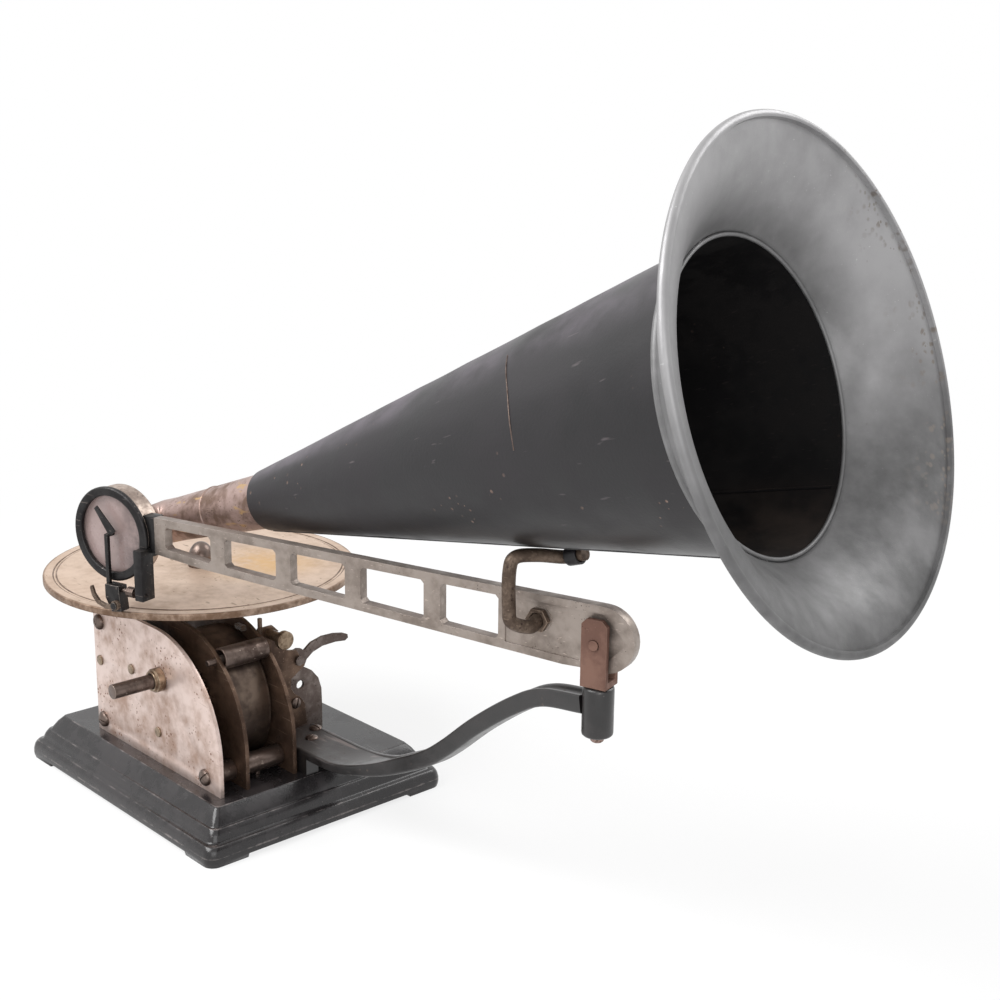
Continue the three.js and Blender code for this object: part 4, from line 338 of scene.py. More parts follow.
# The looks, with the name of each finish; colours as picked on screen
looks = {
    # black iron: the light edge colour is partly wear and partly painted highlights along rounded edges and
    # moulding ridges
    "black_iron": ("satinBlackIron", {"base": (32, 30, 31), "tarnish": (44, 41, 42), "pits": (84, 72, 64),
        "edge": (150, 142, 140), "rough": (0.22, 0.36), "edgeMetal": 0.6, "edgeAmount": 0.55, "edgeScale": 90,
        "pitPatches": 0.6, "pitSize": 0.3, "dustAndHighlight": 0.02, "dustAndHighlightColor": (86, 78, 78),
        "scratchColor": (84, 80, 80), "scratchCut": 0.7, "scratchAcross": 500, "grainScale": 900, "swell": 90,
        "bump": 0.3, "coat": 0.25, "coatRough": 0.14, "specular": 0.36}),
    "pale_nickel": ("wornPaleNickel", {"base": (217, 198, 190), "tarnish": (169, 142, 127),
        "pits": (118, 82, 64), "metal": 0.72, "edge": (128, 98, 78), "edgeScale": 200, "rough": (0.36, 0.5),
        "cloudScale": 34, "cloudLow": 0.4, "cloudHigh": 0.66, "pitScale": 460, "pitSize": 0.48,
        "pitPatches": 0.48, "dustAndHighlight": 0.05, "bump": 0.2, "scratchColor": (190, 168, 158), "scratchCut": 0.69,
        "scratchAcross": 700, "scratchAlong": 60}),
    "brown_nickel": ("brownedNickel", {"base": (112, 90, 75), "tarnish": (66, 49, 39), "pits": (40, 27, 20),
        "metal": 0.7, "edge": (214, 200, 184), "edgeAmount": 1, "edgeScale": 260, "rough": (0.4, 0.58),
        "cloudScale": 26, "cloudLow": 0.34, "pitScale": 460, "pitPatches": 0.5, "dustAndHighlight": 0.1,
        "scratchColor": (134, 112, 96)}),
    "dark_steel": ("darkAgedSteel", {"base": (112, 98, 91), "tarnish": (74, 61, 55), "pits": (70, 46, 34),
        "metal": 0.85, "edge": (160, 146, 136), "rough": (0.3, 0.46), "cloudScale": 60, "pitPatches": 0.54,
        "dustAndHighlight": 0.08, "scratchColor": (150, 136, 126), "scratchAcross": 500, "scratchAlong": 60}),
    "blued_steel": ("scratchedBluedSteel", {"base": (110, 95, 84), "tarnish": (72, 60, 54),
        "pits": (88, 66, 52), "metal": 0.85, "edge": (120, 112, 104), "rough": (0.3, 0.42),
        "scratchColor": (98, 88, 80), "scratchCut": 0.68, "scratchAcross": 420, "scratchAlong": 34,
        "scratchTurn": math.pi / 2, "scratchDepth": 0.1, "cloudScale": 38, "cloudLow": 0.4,
        "pitPatches": 0.64, "dustAndHighlight": 0.05, "bump": 0.15}),
    "gear_brass": ("agedGearBrass", {"base": (156, 124, 80), "tarnish": (100, 74, 44), "pits": (60, 42, 26),
        "metal": 0.9, "rough": (0.34, 0.52), "cloudScale": 70, "dustAndHighlight": 0.15}),
    "brown_felt": ("fuzzyBrownFelt", {"base": (92, 72, 56), "tarnish": (58, 44, 34), "pits": (44, 32, 24),
        "rough": (0.9, 1.0), "cloudScale": 220, "grainScale": 2600, "bump": 1.0, "bumpDistance": 0.0009,
        "sheen": 0.6, "sheenRough": 0.4, "specular": 0.1}),
    "grey_steel": ("dullGreySteel", {"base": (128, 118, 113), "tarnish": (92, 80, 75), "pits": (62, 46, 38),
        "metal": 0.8, "edge": (170, 160, 152), "rough": (0.36, 0.54), "cloudScale": 46, "cloudLow": 0.36,
        "pitScale": 600, "pitPatches": 0.48, "dustAndHighlight": 0.1}),
    "red_iron": ("redBrownIron", {"base": (113, 84, 72), "tarnish": (97, 70, 60), "pits": (70, 48, 40),
        "rough": (0.6, 0.74), "edge": (140, 110, 98), "edgeAmount": 0.4, "cloudScale": 50, "pitScale": 700,
        "pitSize": 0.34, "pitPatches": 0.58, "bump": 0.35, "grainScale": 1100, "specular": 0.3, "dustAndHighlight": 0.05,
        "scratchColor": (112, 84, 74)}),
    "cast_aluminium": ("castAluminium", {"base": (159, 148, 140), "tarnish": (126, 115, 107),
        "pits": (86, 74, 66), "metal": 0.8, "edge": (214, 204, 196), "edgeAmount": 0.7, "rough": (0.36, 0.52),
        "cloudScale": 42, "cloudLow": 0.38, "cloudHigh": 0.66, "pitScale": 800, "pitSize": 0.34,
        "pitPatches": 0.5, "grainScale": 1400, "bump": 0.3, "dustAndHighlight": 0.8, "dustAndHighlightColor": (104, 94, 90),
        "dustAndHighlightScale": 60, "scratchColor": (178, 164, 154), "scratchAlong": 30}),
    "brown_rod": ("brownTarnishedRod", {"base": (112, 96, 83), "tarnish": (78, 64, 54), "pits": (60, 44, 36),
        "metal": 0.6, "edge": (168, 148, 130), "rough": (0.42, 0.6), "cloudScale": 120, "cloudLow": 0.36,
        "pitScale": 500, "pitPatches": 0.44, "dustAndHighlight": 0.1, "bump": 0.6, "swell": 240, "grainShare": 0.3,
        "bumpDistance": 0.0012}),
    "old_brass": ("wornOldBrass", {"base": (171, 148, 141), "tarnish": (115, 94, 83), "pits": (82, 62, 48),
        "metal": 0.8, "edge": (204, 176, 138), "rough": (0.38, 0.54), "cloudScale": 40, "cloudLow": 0.44,
        "cloudHigh": 0.6, "pitScale": 700, "pitSize": 0.5, "pitPatches": 0.45, "dustAndHighlight": 0.08,
        "scratchColor": (188, 156, 114), "scratchCut": 0.64, "scratchAcross": 160, "scratchAlong": 60}),
    "gun_metal": ("wornGunmetal", {"base": (49, 48, 48), "tarnish": (37, 35, 36), "pits": (98, 84, 76),
        "metal": 0.75, "edge": (150, 142, 136), "edgeAmount": 0.8, "rough": (0.34, 0.48), "cloudScale": 60,
        "pitPatches": 0.57, "dustAndHighlight": 0.08, "scratchColor": (104, 96, 92)}),
    # the sound box cup: brown-grey, made lighter than its gunmetal slot as painted light where its side
    # catches the lamp
    "boxSide": ("brownBoxSidePaintedLight", {"base": (192, 176, 164), "tarnish": (138, 123, 114), "pits": (64, 52, 46),
        "metal": 0.7, "edge": (160, 148, 138), "rough": (0.4, 0.54), "cloudScale": 70, "cloudLow": 0.36,
        "pitScale": 700, "pitPatches": 0.48, "dustAndHighlight": 0.08, "scratchColor": (150, 138, 130)}),
    "dullBushing": ("dullBushingNickel", {"base": (150, 132, 112), "tarnish": (104, 86, 70),
        "pits": (62, 46, 36), "metal": 0.85, "edge": (196, 178, 152), "rough": (0.28, 0.44),
        "cloudScale": 110, "pitPatches": 0.5, "dustAndHighlight": 0.05}),
    "bracketIron": ("wornBracketIron", {"base": (24, 22, 22), "tarnish": (37, 34, 34), "pits": (70, 60, 54),
        "edge": (108, 102, 102), "rough": (0.32, 0.46), "edgeAmount": 0.5, "dustAndHighlight": 0.1,
        "dustAndHighlightColor": (90, 84, 84), "scratchColor": (84, 78, 78), "scratchCut": 0.68, "scratchAcross": 400,
        "swell": 80, "bump": 0.4, "coat": 0.3, "coatRough": 0.28}),
    # horn: its up-facing dust colour is a painted highlight along the top of the cone
    "horn_japan": ("mattBlackHorn", {"base": (23, 22, 24), "tarnish": (31, 28, 31), "pits": (118, 98, 88),
        "rough": (0.36, 0.5), "cloudScale": 14, "cloudLow": 0.35, "cloudHigh": 0.68, "pitScale": 260,
        "pitSize": 0.32, "pitPatches": 0.57, "dustAndHighlight": 0.55, "dustAndHighlightColor": (136, 128, 137), "dustAndHighlightScale": 26,
        "scratchAcross": 320, "scratchAlong": 22, "scratchCut": 0.7, "scratchColor": (70, 64, 66),
        "grainScale": 700, "swell": 28, "grainShare": 0.3, "bump": 0.35, "bumpDistance": 0.0006,
        "specular": 0.42}),
    # the horn's inside: a darker, less shiny copy of its paint, painted shade deep in the cone
    "hornInside": ("shadedHornInside", {"base": (13, 12, 13), "tarnish": (20, 18, 18), "pits": (80, 66, 58),
        "rough": (0.6, 0.78), "cloudScale": 30, "pitScale": 300, "pitSize": 0.3, "pitPatches": 0.58,
        "dustAndHighlight": 0.5, "dustAndHighlightColor": (66, 56, 50), "scratchColor": (30, 26, 26), "specular": 0.18}),
}
finishes = {key: agedFinish(name, look) for key, (name, look) in looks.items()}


def addWornPatch(finish, look):
    # bare bright patch where the bracket's flat root is rubbed, only on the side facing up
    tree, shader, color = reopen(finish)
    along, soft = axes(tree)[0], look["soft"]
    band = times(tree, spread(tree, along, look["from"], look["from"] + soft),
                 spread(tree, along, look["to"], look["to"] - soft))
    upward = spread(tree, axes(tree, "Normal")[2], *look["facing"])
    patch = times(tree, times(tree, band, upward), useGroup(tree, scratches, **look["streaks"]))
    tree.links.new(blendColor(tree, patch, color, look["color"]), shader.inputs["Base Color"])
    tree.links.new(times(tree, patch, look["metal"]), shader.inputs["Metallic"])


addWornPatch(finishes["bracketIron"], {
    "from": 0.094, "to": 0.152, "soft": 0.012, "facing": (0.6, 0.95), "color": (118, 108, 106), "metal": 0.8,
    "streaks": {"Across": 150, "Along": 26, "Turn": 0, "Cut": 0.55}})


def micaFinish(look):
    # cloudy, pinkish grey, smoky towards the pivot side
    finish, tree, shader = startFinish("cloudyMica")
    clouds = useGroup(tree, tarnish, **look["clouds"])
    smoky = times(tree, spread(tree, axes(tree)[0], *look["smokeAt"]),
                  useGroup(tree, tarnish, **look["smokeClouds"]))
    color = blendColor(tree, clouds, look["base"], look["shadow"])
    color = blendColor(tree, smoky, color, look["smoke"])
    color = blendColor(tree, useGroup(tree, pits, **look["speckSize"]), color, look["specks"])
    addBump(tree, shader, useGroup(tree, grain, Scale=300, Swell=45, Share=0.3), 0.15, 0.0004)
    tree.links.new(color, shader.inputs["Base Color"])
    tree.links.new(spread(tree, clouds, 0, 1, *look["rough"]), shader.inputs["Roughness"])
    shader.inputs["Coat Weight"].default_value = look["coat"]
    shader.inputs["Coat Roughness"].default_value = look["coatRough"]
    return finish


finishes["mica"] = micaFinish({
    "base": (151, 132, 129), "shadow": (140, 122, 118), "clouds": {"Scale": 60, "Low": 0.35, "High": 0.65},
    "specks": (110, 90, 84), "speckSize": {"Scale": 900, "Size": 0.4, "Patches": 0.5}, "smoke": (96, 82, 80),
    "smokeAt": (-0.288, -0.272), "smokeClouds": {"Scale": 45, "Low": 0.3, "High": 0.55},
    "rough": (0.25, 0.45), "coat": 0.35, "coatRough": 0.15})


def platterFinish(look):
    # yellowed nickel: darker lines along the two rim grooves, brown edge, one rusty bloom behind the knob
    finish = agedFinish("yellowedPlatterNickel", look)
    tree, shader, color = reopen(finish)
    x, y = axes(tree)[:2]
    reach, uneven = reachOf(tree, x, y), useGroup(tree, tarnish, **look["uneven"])
    for middle in look["lines"]:
        away = mathNode(tree, "ABSOLUTE", mathNode(tree, "SUBTRACT", reach, middle))
        grooveDarkening = times(tree, spread(tree, away, look["lineHalf"], look["lineHalf"] / 2),
                     partly(tree, uneven, 0.5))
        color = blendColor(tree, grooveDarkening, color, look["lineColor"])
    rim = times(tree, spread(tree, reach, *look["rim"]), partly(tree, uneven, 0.6))
    color = blendColor(tree, rim, color, look["rimColor"])
    spot = [mathNode(tree, "SUBTRACT", value, shift) for value, shift in zip((x, y), look["bloomAt"])]
    bloom = times(tree, spread(tree, reachOf(tree, *spot), *look["bloom"]),
                  useGroup(tree, tarnish, **look["bloomClouds"]))
    tree.links.new(blendColor(tree, bloom, color, look["bloomColor"]), shader.inputs["Base Color"])
    return finish


finishes["platter_nickel"] = platterFinish({
    "base": (208, 184, 165), "tarnish": (178, 155, 137), "pits": (124, 98, 78), "metal": 0.6,
    "edge": (140, 112, 90), "edgeScale": 200, "rough": (0.42, 0.55), "cloudScale": 42, "cloudLow": 0.36,
    "cloudHigh": 0.7, "pitScale": 420, "pitPatches": 0.54, "pitSize": 0.4, "dustAndHighlight": 0.15,
    "dustAndHighlightColor": (186, 170, 150), "scratchColor": (150, 128, 108), "scratchCut": 0.68, "scratchAcross": 300,
    "scratchAlong": 90, "bump": 0.3,
    "uneven": {"Scale": 80, "Low": 0.3, "High": 0.62}, "rim": (0.0872, 0.0886), "rimColor": (104, 80, 62),
    "lines": (0.0831, 0.0813), "lineHalf": 0.00055, "lineColor": (84, 64, 50), "bloomAt": (0.022, 0.03),
    "bloom": (0.045, 0.004), "bloomClouds": {"Scale": 55, "Low": 0.25, "High": 0.6},
    "bloomColor": (200, 164, 118)})


def bellFinish(look):
    # bare sheet metal with painted shade and duller metal near the throat and low down, speckled brown on one
    # side
    finish = agedFinish("bareGreyTin", look)
    tree, shader, color = reopen(finish)
    y, z = axes(tree)[1:]
    reach, clouds = reachOf(tree, y, z), useGroup(tree, tarnish, **look["shadeAndDullClouds"])
    throat = times(tree, spread(tree, reach, *look["throat"]), look["throatShadeAndDull"])
    low = times(tree, spread(tree, z, *look["low"]), look["lowShadeAndDull"])
    shadeAndDull = times(tree, mathNode(tree, "MAXIMUM", throat, low), partly(tree, clouds, 0.5))
    # painted shade: the colour darkens towards the throat and the bottom of the bell, where the metal is also
    # dulled
    color = blendColor(tree, shadeAndDull, color, look["shadeAndDull"])
    side = times(tree, spread(tree, y, *look["side"]), spread(tree, reach, *look["sideReach"]))
    specks = times(tree, useGroup(tree, pits, **look["speckSize"]), side)
    tree.links.new(blendColor(tree, specks, color, look["pits"]), shader.inputs["Base Color"])
    bare = plus(tree, times(tree, shadeAndDull, -look["metal"]), look["metal"])
    tree.links.new(bare, shader.inputs["Metallic"])
    return finish


finishes["grey_tin"] = bellFinish({
    "base": (160, 159, 160), "tarnish": (135, 134, 135), "pits": (120, 112, 106), "metal": 0.55,
    "rough": (0.4, 0.52), "cloudScale": 13, "cloudLow": 0.36, "cloudHigh": 0.7, "pitScale": 300,
    "pitSize": 0.3, "pitPatches": 0.6, "dustAndHighlight": 0.0, "scratchColor": (190, 190, 190), "scratchCut": 0.72,
    "swell": 24, "grainShare": 0.2, "bump": 0.3, "bumpDistance": 0.0007, "edge": (190, 188, 188),
    "throat": (0.084, 0.066), "throatShadeAndDull": 0.75, "low": (0.05, -0.06), "lowShadeAndDull": 0.95, "shadeAndDull": (60, 60, 60),
    "shadeAndDullClouds": {"Scale": 24, "Low": 0.25, "High": 0.7}, "side": (0.05, 0.085), "sideReach": (0.078, 0.1),
    "speckSize": {"Scale": 330, "Size": 0.75, "Patches": 0.44}})
print("finishes made:", len(finishes))


# Mesh tools, all in millimetres
def makePiece(name, form, frameMatrix, body, slot, hides=(), smoothAngle=36, finish=None):
    # a finish other than the slot's own may be named where one slot covers surfaces that aged differently;
    # the sound box cup's own finish is partly painted light
    mesh = bpy.data.meshes.new(name)
    bmesh.ops.recalc_face_normals(form, faces=form.faces)
    for face in form.faces:
        face.smooth = True
    form.to_mesh(mesh)
    form.free()
    mesh.transform(Matrix.Scale(0.001, 4))
    mesh.set_sharp_from_angle(angle=math.radians(smoothAngle))
    piece = bpy.data.objects.new(name, mesh)
    bpy.context.collection.objects.link(piece)
    piece.matrix_world = frameMatrix
    mesh.materials.append(finishes[finish or slot])
    bpy.context.view_layer.update()
    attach(piece, body)
    if hides:
        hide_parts(*hides)
    return piece


def softened(profile, radius=0.35, closed=None):
    # rounds the corners of a profile with four points each; a profile that leaves out the axis is closed
    if closed is None:
        closed = profile[0][0] > 0
    count = len(profile)
    result = []
    for i, (r, a) in enumerate(profile):
        before, after = profile[(i - 1) % count], profile[(i + 1) % count]
        here = Vector((r, a))
        toBefore, toAfter = Vector(before) - here, Vector(after) - here
        reach = min(radius, toBefore.length * 0.45, toAfter.length * 0.45)
        kept = not closed and (i in (0, count - 1) or r < 1e-6)
        if kept or reach < 0.02 or toBefore.angle(toAfter) > math.radians(165):
            result.append((r, a))
            continue
        start, end = here + toBefore.normalized() * reach, here + toAfter.normalized() * reach
        result += [tuple(start * (1 - step) ** 2 + here * 2 * step * (1 - step) + end * step ** 2)
                   for step in (0, 0.33, 0.67, 1)]
    return result


def joinRings(form, rings, ends=False):
    for low, high in zip(rings, rings[1:]):
        count = max(len(low), len(high))
        for k in range(count):
            n = (k + 1) % count
            corners = [low[k % len(low)], low[n % len(low)], high[n % len(high)], high[k % len(high)]]
            unique = list(dict.fromkeys(corners))
            if len(unique) > 2:
                form.faces.new(unique)
    if ends:
        form.faces.new(list(reversed(rings[0])))
        form.faces.new(rings[-1])


def turnedForm(form, profile, axis, centre=(0, 0, 0), sides=40, wobble=None):
    # turns a profile of (radius, place along the axis) round the axis
    order = {"x": (1, 2, 0), "y": (2, 0, 1), "z": (0, 1, 2)}[axis]
    rings = []
    for r, a in profile:
        ring = []
        for k in range(sides if r > 1e-6 else 1):
            angle = 2 * math.pi * k / sides
            radius, along = wobble(r, a, angle) if wobble else (r, a)
            spot = Vector(centre)
            for value, i in zip((radius * math.cos(angle), radius * math.sin(angle), along), order):
                spot[i] += value
            ring.append(form.verts.new(spot))
        rings.append(ring)
    joinRings(form, rings + rings[:1] if profile[0][0] > 0 else rings)
    return form


def turnedPiece(name, profile, frameMatrix, body, slot, hides=(), axis="y", centre=(0, 0, 0), sides=40,
                rounding=0.35, smoothAngle=36, finish=None):
    form = turnedForm(bmesh.new(), softened(profile, rounding), axis, centre, sides)
    return makePiece(name, form, frameMatrix, body, slot, hides, smoothAngle, finish)


def sleeve(inner, outer, low, high):
    # profile of a plain ring, or of a disc where the inner radius is 0
    return [(inner, low), (outer, low), (outer, high), (inner, high)]


def sweptForm(form, path, radius, sides=28, ends=True):
    # round bar along points; radius is a number or one value for each point
    points = [Vector(p) for p in path]
    radii = radius if isinstance(radius, list) else [radius] * len(points)
    rings, side = [], None
    for i, point in enumerate(points):
        way = (points[min(i + 1, len(points) - 1)] - points[max(i - 1, 0)]).normalized()
        if side is None:
            side = way.orthogonal().normalized()
        side = (side - way * side.dot(way)).normalized()
        other = way.cross(side)
        ring = []
        for k in range(sides):
            angle = 2 * math.pi * k / sides
            ring.append(form.verts.new(point + (side * math.cos(angle) + other * math.sin(angle)) * radii[i]))
        rings.append(ring)
    joinRings(form, rings, ends)
    return rings


def sweptPiece(name, path, radius, sides, *rest):
    form = bmesh.new()
    sweptForm(form, path, radius, sides)
    return makePiece(name, form, *rest)


def curvePoints(places, steps=10):
    # smooth curve through places
    line = [Vector(p) for p in places]
    line = [line[0] * 2 - line[1]] + line + [line[-1] * 2 - line[-2]]
    result = []
    for i in range(1, len(line) - 2):
        a, b, c, d = line[i - 1:i + 3]
        for step in range(steps):
            t = step / steps
            result.append(0.5 * ((2 * b) + (c - a) * t + (2 * a - 5 * b + 4 * c - d) * t ** 2
                                 + (3 * b - 3 * c + d - a) * t ** 3))
    return result + [line[-2]]


def bentPath(start, corner, end, steps):
    # round bend between two straight runs
    shares = [i / steps for i in range(steps + 1)]
    return [start * (1 - t) ** 2 + corner * 2 * t * (1 - t) + end * t ** 2 for t in shares]


def boxForm(form, low, high):
    spots = [(x, y, z) for x in (low[0], high[0]) for y in (low[1], high[1]) for z in (low[2], high[2])]
    corners = [form.verts.new(spot) for spot in spots]
    for quad in ((0, 1, 3, 2), (4, 6, 7, 5), (0, 4, 5, 1), (2, 3, 7, 6), (0, 2, 6, 4), (1, 5, 7, 3)):
        form.faces.new([corners[i] for i in quad])


def roundEdges(form, width, angle=28):
    # rounds the sharp edges and marks the rounded strips with the "edge" value
    mark = form.verts.layers.float.get("edge") or form.verts.layers.float.new("edge")
    sharp = [e for e in form.edges if len(e.link_faces) == 2 and e.calc_face_angle(0) > math.radians(angle)]
    made = bmesh.ops.bevel(form, geom=sharp, offset=width, offset_type="OFFSET", segments=3, profile=0.5,
                           affect="EDGES", clamp_overlap=True, loop_slide=False)
    strips = set(made["faces"])
    for vert in made["verts"]:
        vert[mark] = 1.0 if all(f in strips for f in vert.link_faces) else 0.0


def nodeForm(node):
    # the mesh of a node of the frame, in millimetres
    form = bmesh.new()
    form.from_mesh(nodes[node].data)
    bmesh.ops.scale(form, vec=(1000, 1000, 1000), verts=form.verts)
    return form


def weld(form):
    bmesh.ops.remove_doubles(form, verts=form.verts, dist=0.002)


def roundedCopy(name, node, form, width):
    roundEdges(form, width)
    makePiece(name, form, Matrix.Identity(4), bodyOf[node], slotOf[node], (node,), 40)


# Plinth: rounded mouldings on a hollow casting with feet at the corners and a slot under the drum
plinth = {"x": (-51.2, 113), "y": (-66.5, 60.2), "top": 25.6, "outset": 14.8, "corner": 2.2,
          "cornerGrow": 0.28, "wall": 5.5, "slab": 5, "foot": 2.2, "footLength": 24, "footStep": 0.15,
          "round": 1.1, "inward": -0.6, "slotX": (26.2, 72.6), "slotY": (-40.4, -13.4),
          "highlightWearReach": 1.6, "highlightWearShare": 0.8,
          "moulding": ((0.96, 0), (1, 0.086), (1, 0.2), (0.95, 0.336), (0.85, 0.414), (0.76, 0.426),
                       (0.69, 0.453), (0.62, 0.578), (0.5, 0.68), (0.42, 0.68), (0.38, 0.727), (0.2, 0.88),
                       (0.05, 0.969), (0, 1)),
          "worn": ((0, 1), (0.5, 0.68), (0.85, 0.414), (1, 0.2))}


def plinthRing(form, out, z, mark, highlightWearHere):
    # four rounded corners, each followed by a side that is raised between its two feet
    radius = max(plinth["corner"] + plinth["cornerGrow"] * out, 0.5)
    ring = []
    for quarter, signs in enumerate(((1, 1), (-1, 1), (-1, -1), (1, -1))):
        centre = [plinth[axis][sign > 0] + sign * (out - radius) for axis, sign in zip("xy", signs)]
        for step in range(9):
            angle = math.radians(quarter * 90 + step * 90 / 8)
            ring.append((centre[0] + radius * math.cos(angle), centre[1] + radius * math.sin(angle), True))
        alongY = quarter in (1, 3)
        low, high = plinth["y" if alongY else "x"]
        inset = plinth["footLength"] - plinth["outset"]
        ends, way = [low + inset, high - inset], -plinth["footStep"]
        if quarter < 2:
            ends, way = ends[::-1], -way
        for spot, onFoot in ((ends[0] + way, True), (ends[0] - way, False), (ends[1] + way, False),
                             (ends[1] - way, True)):
            x, y, last = ring[-1]
            ring.append((x, spot, onFoot) if alongY else (spot, y, onFoot))
    made = []
    for x, y, onFoot in ring:
        made.append(form.verts.new((x, y, z if onFoot else max(z, plinth["foot"]))))
        made[-1][mark] = highlightWearHere
    return made


form = bmesh.new()
mark = form.verts.layers.float.new("edge")
top, outset, bed = plinth["top"], plinth["outset"], plinth["top"] - plinth["slab"]
rings = [plinthRing(form, -plinth["wall"], bed, mark, 0),
         plinthRing(form, outset - plinth["wall"], 0, mark, 0)]
outline = [(out * outset, up * top) for out, up in plinth["moulding"]] + [(plinth["inward"], top)]
# the ridges listed under "worn" get an edge value that paints highlight lines along the moulding, partly
# standing for wear
for out, z in softened(outline, plinth["round"], False):
    near = min(math.hypot(out - a * outset, z - b * top) for a, b in plinth["worn"])
    highlightWornHere = max(0, 1 - near / plinth["highlightWearReach"]) * plinth["highlightWearShare"]
    rings.append(plinthRing(form, out, z, mark, highlightWornHere))
joinRings(form, rings)
(lowX, highX), (lowY, highY) = plinth["slotX"], plinth["slotY"]
slotCorners = ((lowX, lowY), (highX, lowY), (highX, highY), (lowX, highY))
walls = [[form.verts.new((x, y, z)) for x, y in slotCorners] for z in (top, bed)]
joinRings(form, walls)
for loops in ((rings[-1], walls[0]), (rings[0], walls[1])):
    border = [form.edges.get((loop[k - 1], loop[k])) for loop in loops for k in range(len(loop))]
    bmesh.ops.triangle_fill(form, use_beauty=True, use_dissolve=False, edges=border)
makePiece("mouldedPlinth", form, benchFrame, "base", "black_iron", ("base_plinth",), 50)
print("plinth done")

# Turntable: rim lines, brown edge, hub below
platter = {"radius": 88.9, "top": 117.1, "edge": 3.8, "groove": 5.6, "grooveWidth": 2.2, "grooveDepth": 0.35,
           "hub": 14, "hubLength": 6.5, "bore": 3.8, "seat": 7.6, "seatDepth": 0.6,
           "ledge": 1.4, "chamfer": 0.4}


def platterProfile(radius, top, edge, groove, grooveWidth, grooveDepth, hub, hubLength, bore, seat,
                   seatDepth, ledge, chamfer):
    under, outer, bed = top - edge, radius - groove, top - grooveDepth
    inner = outer - grooveWidth
    foot, rim = under - hubLength, radius - edge
    seatFloor = top - seatDepth
    return [(bore, foot), (hub, foot), (hub, under + ledge), (rim, under + ledge), (rim, under),
            (radius, under), (radius, top - chamfer), (radius - chamfer, top), (outer, top),
            (outer - 0.5, bed), (outer - 1, top - 0.1), (inner + 1, top - 0.1), (inner + 0.5, bed),
            (inner, top), (seat, top), (seat, seatFloor), (bore, seatFloor)]


turnedPiece("platterPlate", platterProfile(**platter), benchFrame, "turntable", "platter_nickel",
            ("turntable",), "z", sides=192, rounding=0.5, smoothAngle=40)

knob = {"radius": 7.3, "bore": 3.8, "foot": 116.5, "recess": 124, "skirt": 121.6, "height": 131.1}
profile = [(0, knob["recess"]), (knob["bore"], knob["recess"]), (knob["bore"], knob["foot"]),
           (knob["radius"], knob["foot"]), (knob["radius"], knob["skirt"])]
dome = knob["height"] - knob["skirt"]
for step in range(1, 9):
    angle = math.pi / 2 * step / 9
    profile.append((knob["radius"] * math.cos(angle), knob["skirt"] + dome * math.sin(angle)))
turnedPiece("platterKnob", profile + [(0, knob["height"])], benchFrame, "turntable", slotOf["turntable_knob"],
            ("turntable_knob",), "z", sides=64, rounding=0.4)
print("turntable done")

# Motor plates, bridge and small flat parts keep their outlines with rounded edges, this many millimetres wide
flatParts = {"plate_left": 0.3, "plate_middle": 0.3, "plate_right": 0.3, "spindle_bridge": 0.4,
             "control_bracket": 0.3, "speed_plate": 0.25, "stop_lever": 0.3, "governor_brake_leaf": 0.15,
             "felt_pad": 0.6, "arm": 0.55, "yoke": 0.45, "rod_nut": 0.35, "needle_holder": 0.3,
             "stylus_bar": 0.2, "pawl": 0.2, "winding_arbor": 0.15, "winding_shaft": 0.25,
             "second_arbor": 0.15, "third_arbor": 0.15, "governor_shaft": 0.12, "spindle": 0.15}
for node, width in flatParts.items():
    form = nodeForm(node)
    weld(form)
    bmesh.ops.dissolve_limit(form, angle_limit=math.radians(0.6), verts=form.verts, edges=form.edges)
    roundedCopy("dressed_" + node, node, form, width)

# Bracket: grooved bar swept along its S-curve, with pad, leg and boss
bracket = {"root": (80, 5.4, 36.2), "end": (306.5, 6.1, 124), "rib": 2.6, "taper": (128, 186), "round": 1.3,
           "width": (28.6, 12), "thick": (4.6, 8.6), "groove": (0.2, 1.8),
           "boss": {"inner": 2.6, "outer": 7.2, "low": 110, "high": 133.3}, "bossRound": 1.6,
           "pad": ((82, 1, 25.6), (101.5, 19.6, 36.2)), "leg": ((103.8, -8.9, 25.6), (112, -1, 36.2)),
           "curve": ((0, 0), (0.13, 0.003), (0.243, 0.015), (0.354, 0.083), (0.4425, 0.18), (0.531, 0.3),
                     (0.597, 0.424), (0.695, 0.636), (0.805, 0.838), (0.889, 0.95), (1, 1))}
root, end = Vector(bracket["root"]), Vector(bracket["end"])
curve = [(a, a, b) for a, b in bracket["curve"]]
barPath = curvePoints([[r + share * (e - r) for r, e, share in zip(root, end, spot)] for spot in curve], 9)
taperFrom, taperTo = bracket["taper"]
form = bmesh.new()
rings = []
for i, spot in enumerate(barPath):
    ahead = (barPath[min(i + 1, len(barPath) - 1)] - barPath[max(i - 1, 0)]).normalized()
    upward = ahead.cross(Vector((0, 1, 0))).normalized()
    share = min(max((spot.x - taperFrom) / (taperTo - taperFrom), 0), 1)
    share = share * share * (3 - 2 * share)
    width, thick, deep = [a + (b - a) * share for a, b in map(bracket.get, ("width", "thick", "groove"))]
    half, rise, rib = width / 2, thick / 2, bracket["rib"]
    inside = half - rib
    section = [(-half, -rise), (half, -rise), (half, rise), (inside, rise), (inside - deep, rise - deep),
               (deep - inside, rise - deep), (-inside, rise), (-half, rise)]
    rings.append([form.verts.new(spot + Vector((0, 1, 0)) * side + upward * height)
                  for side, height in softened(section, bracket["round"], True)])
joinRings(form, rings, True)
turnedForm(form, softened(sleeve(**bracket["boss"]), bracket["bossRound"]), "z", armPlace["pivot"], 64)
boxForm(form, *bracket["pad"])
boxForm(form, *bracket["leg"])
makePiece("curvedBracket", form, benchFrame, bodyOf["arm_bracket"], slotOf["arm_bracket"], ("arm_bracket",),
          50, "bracketIron")

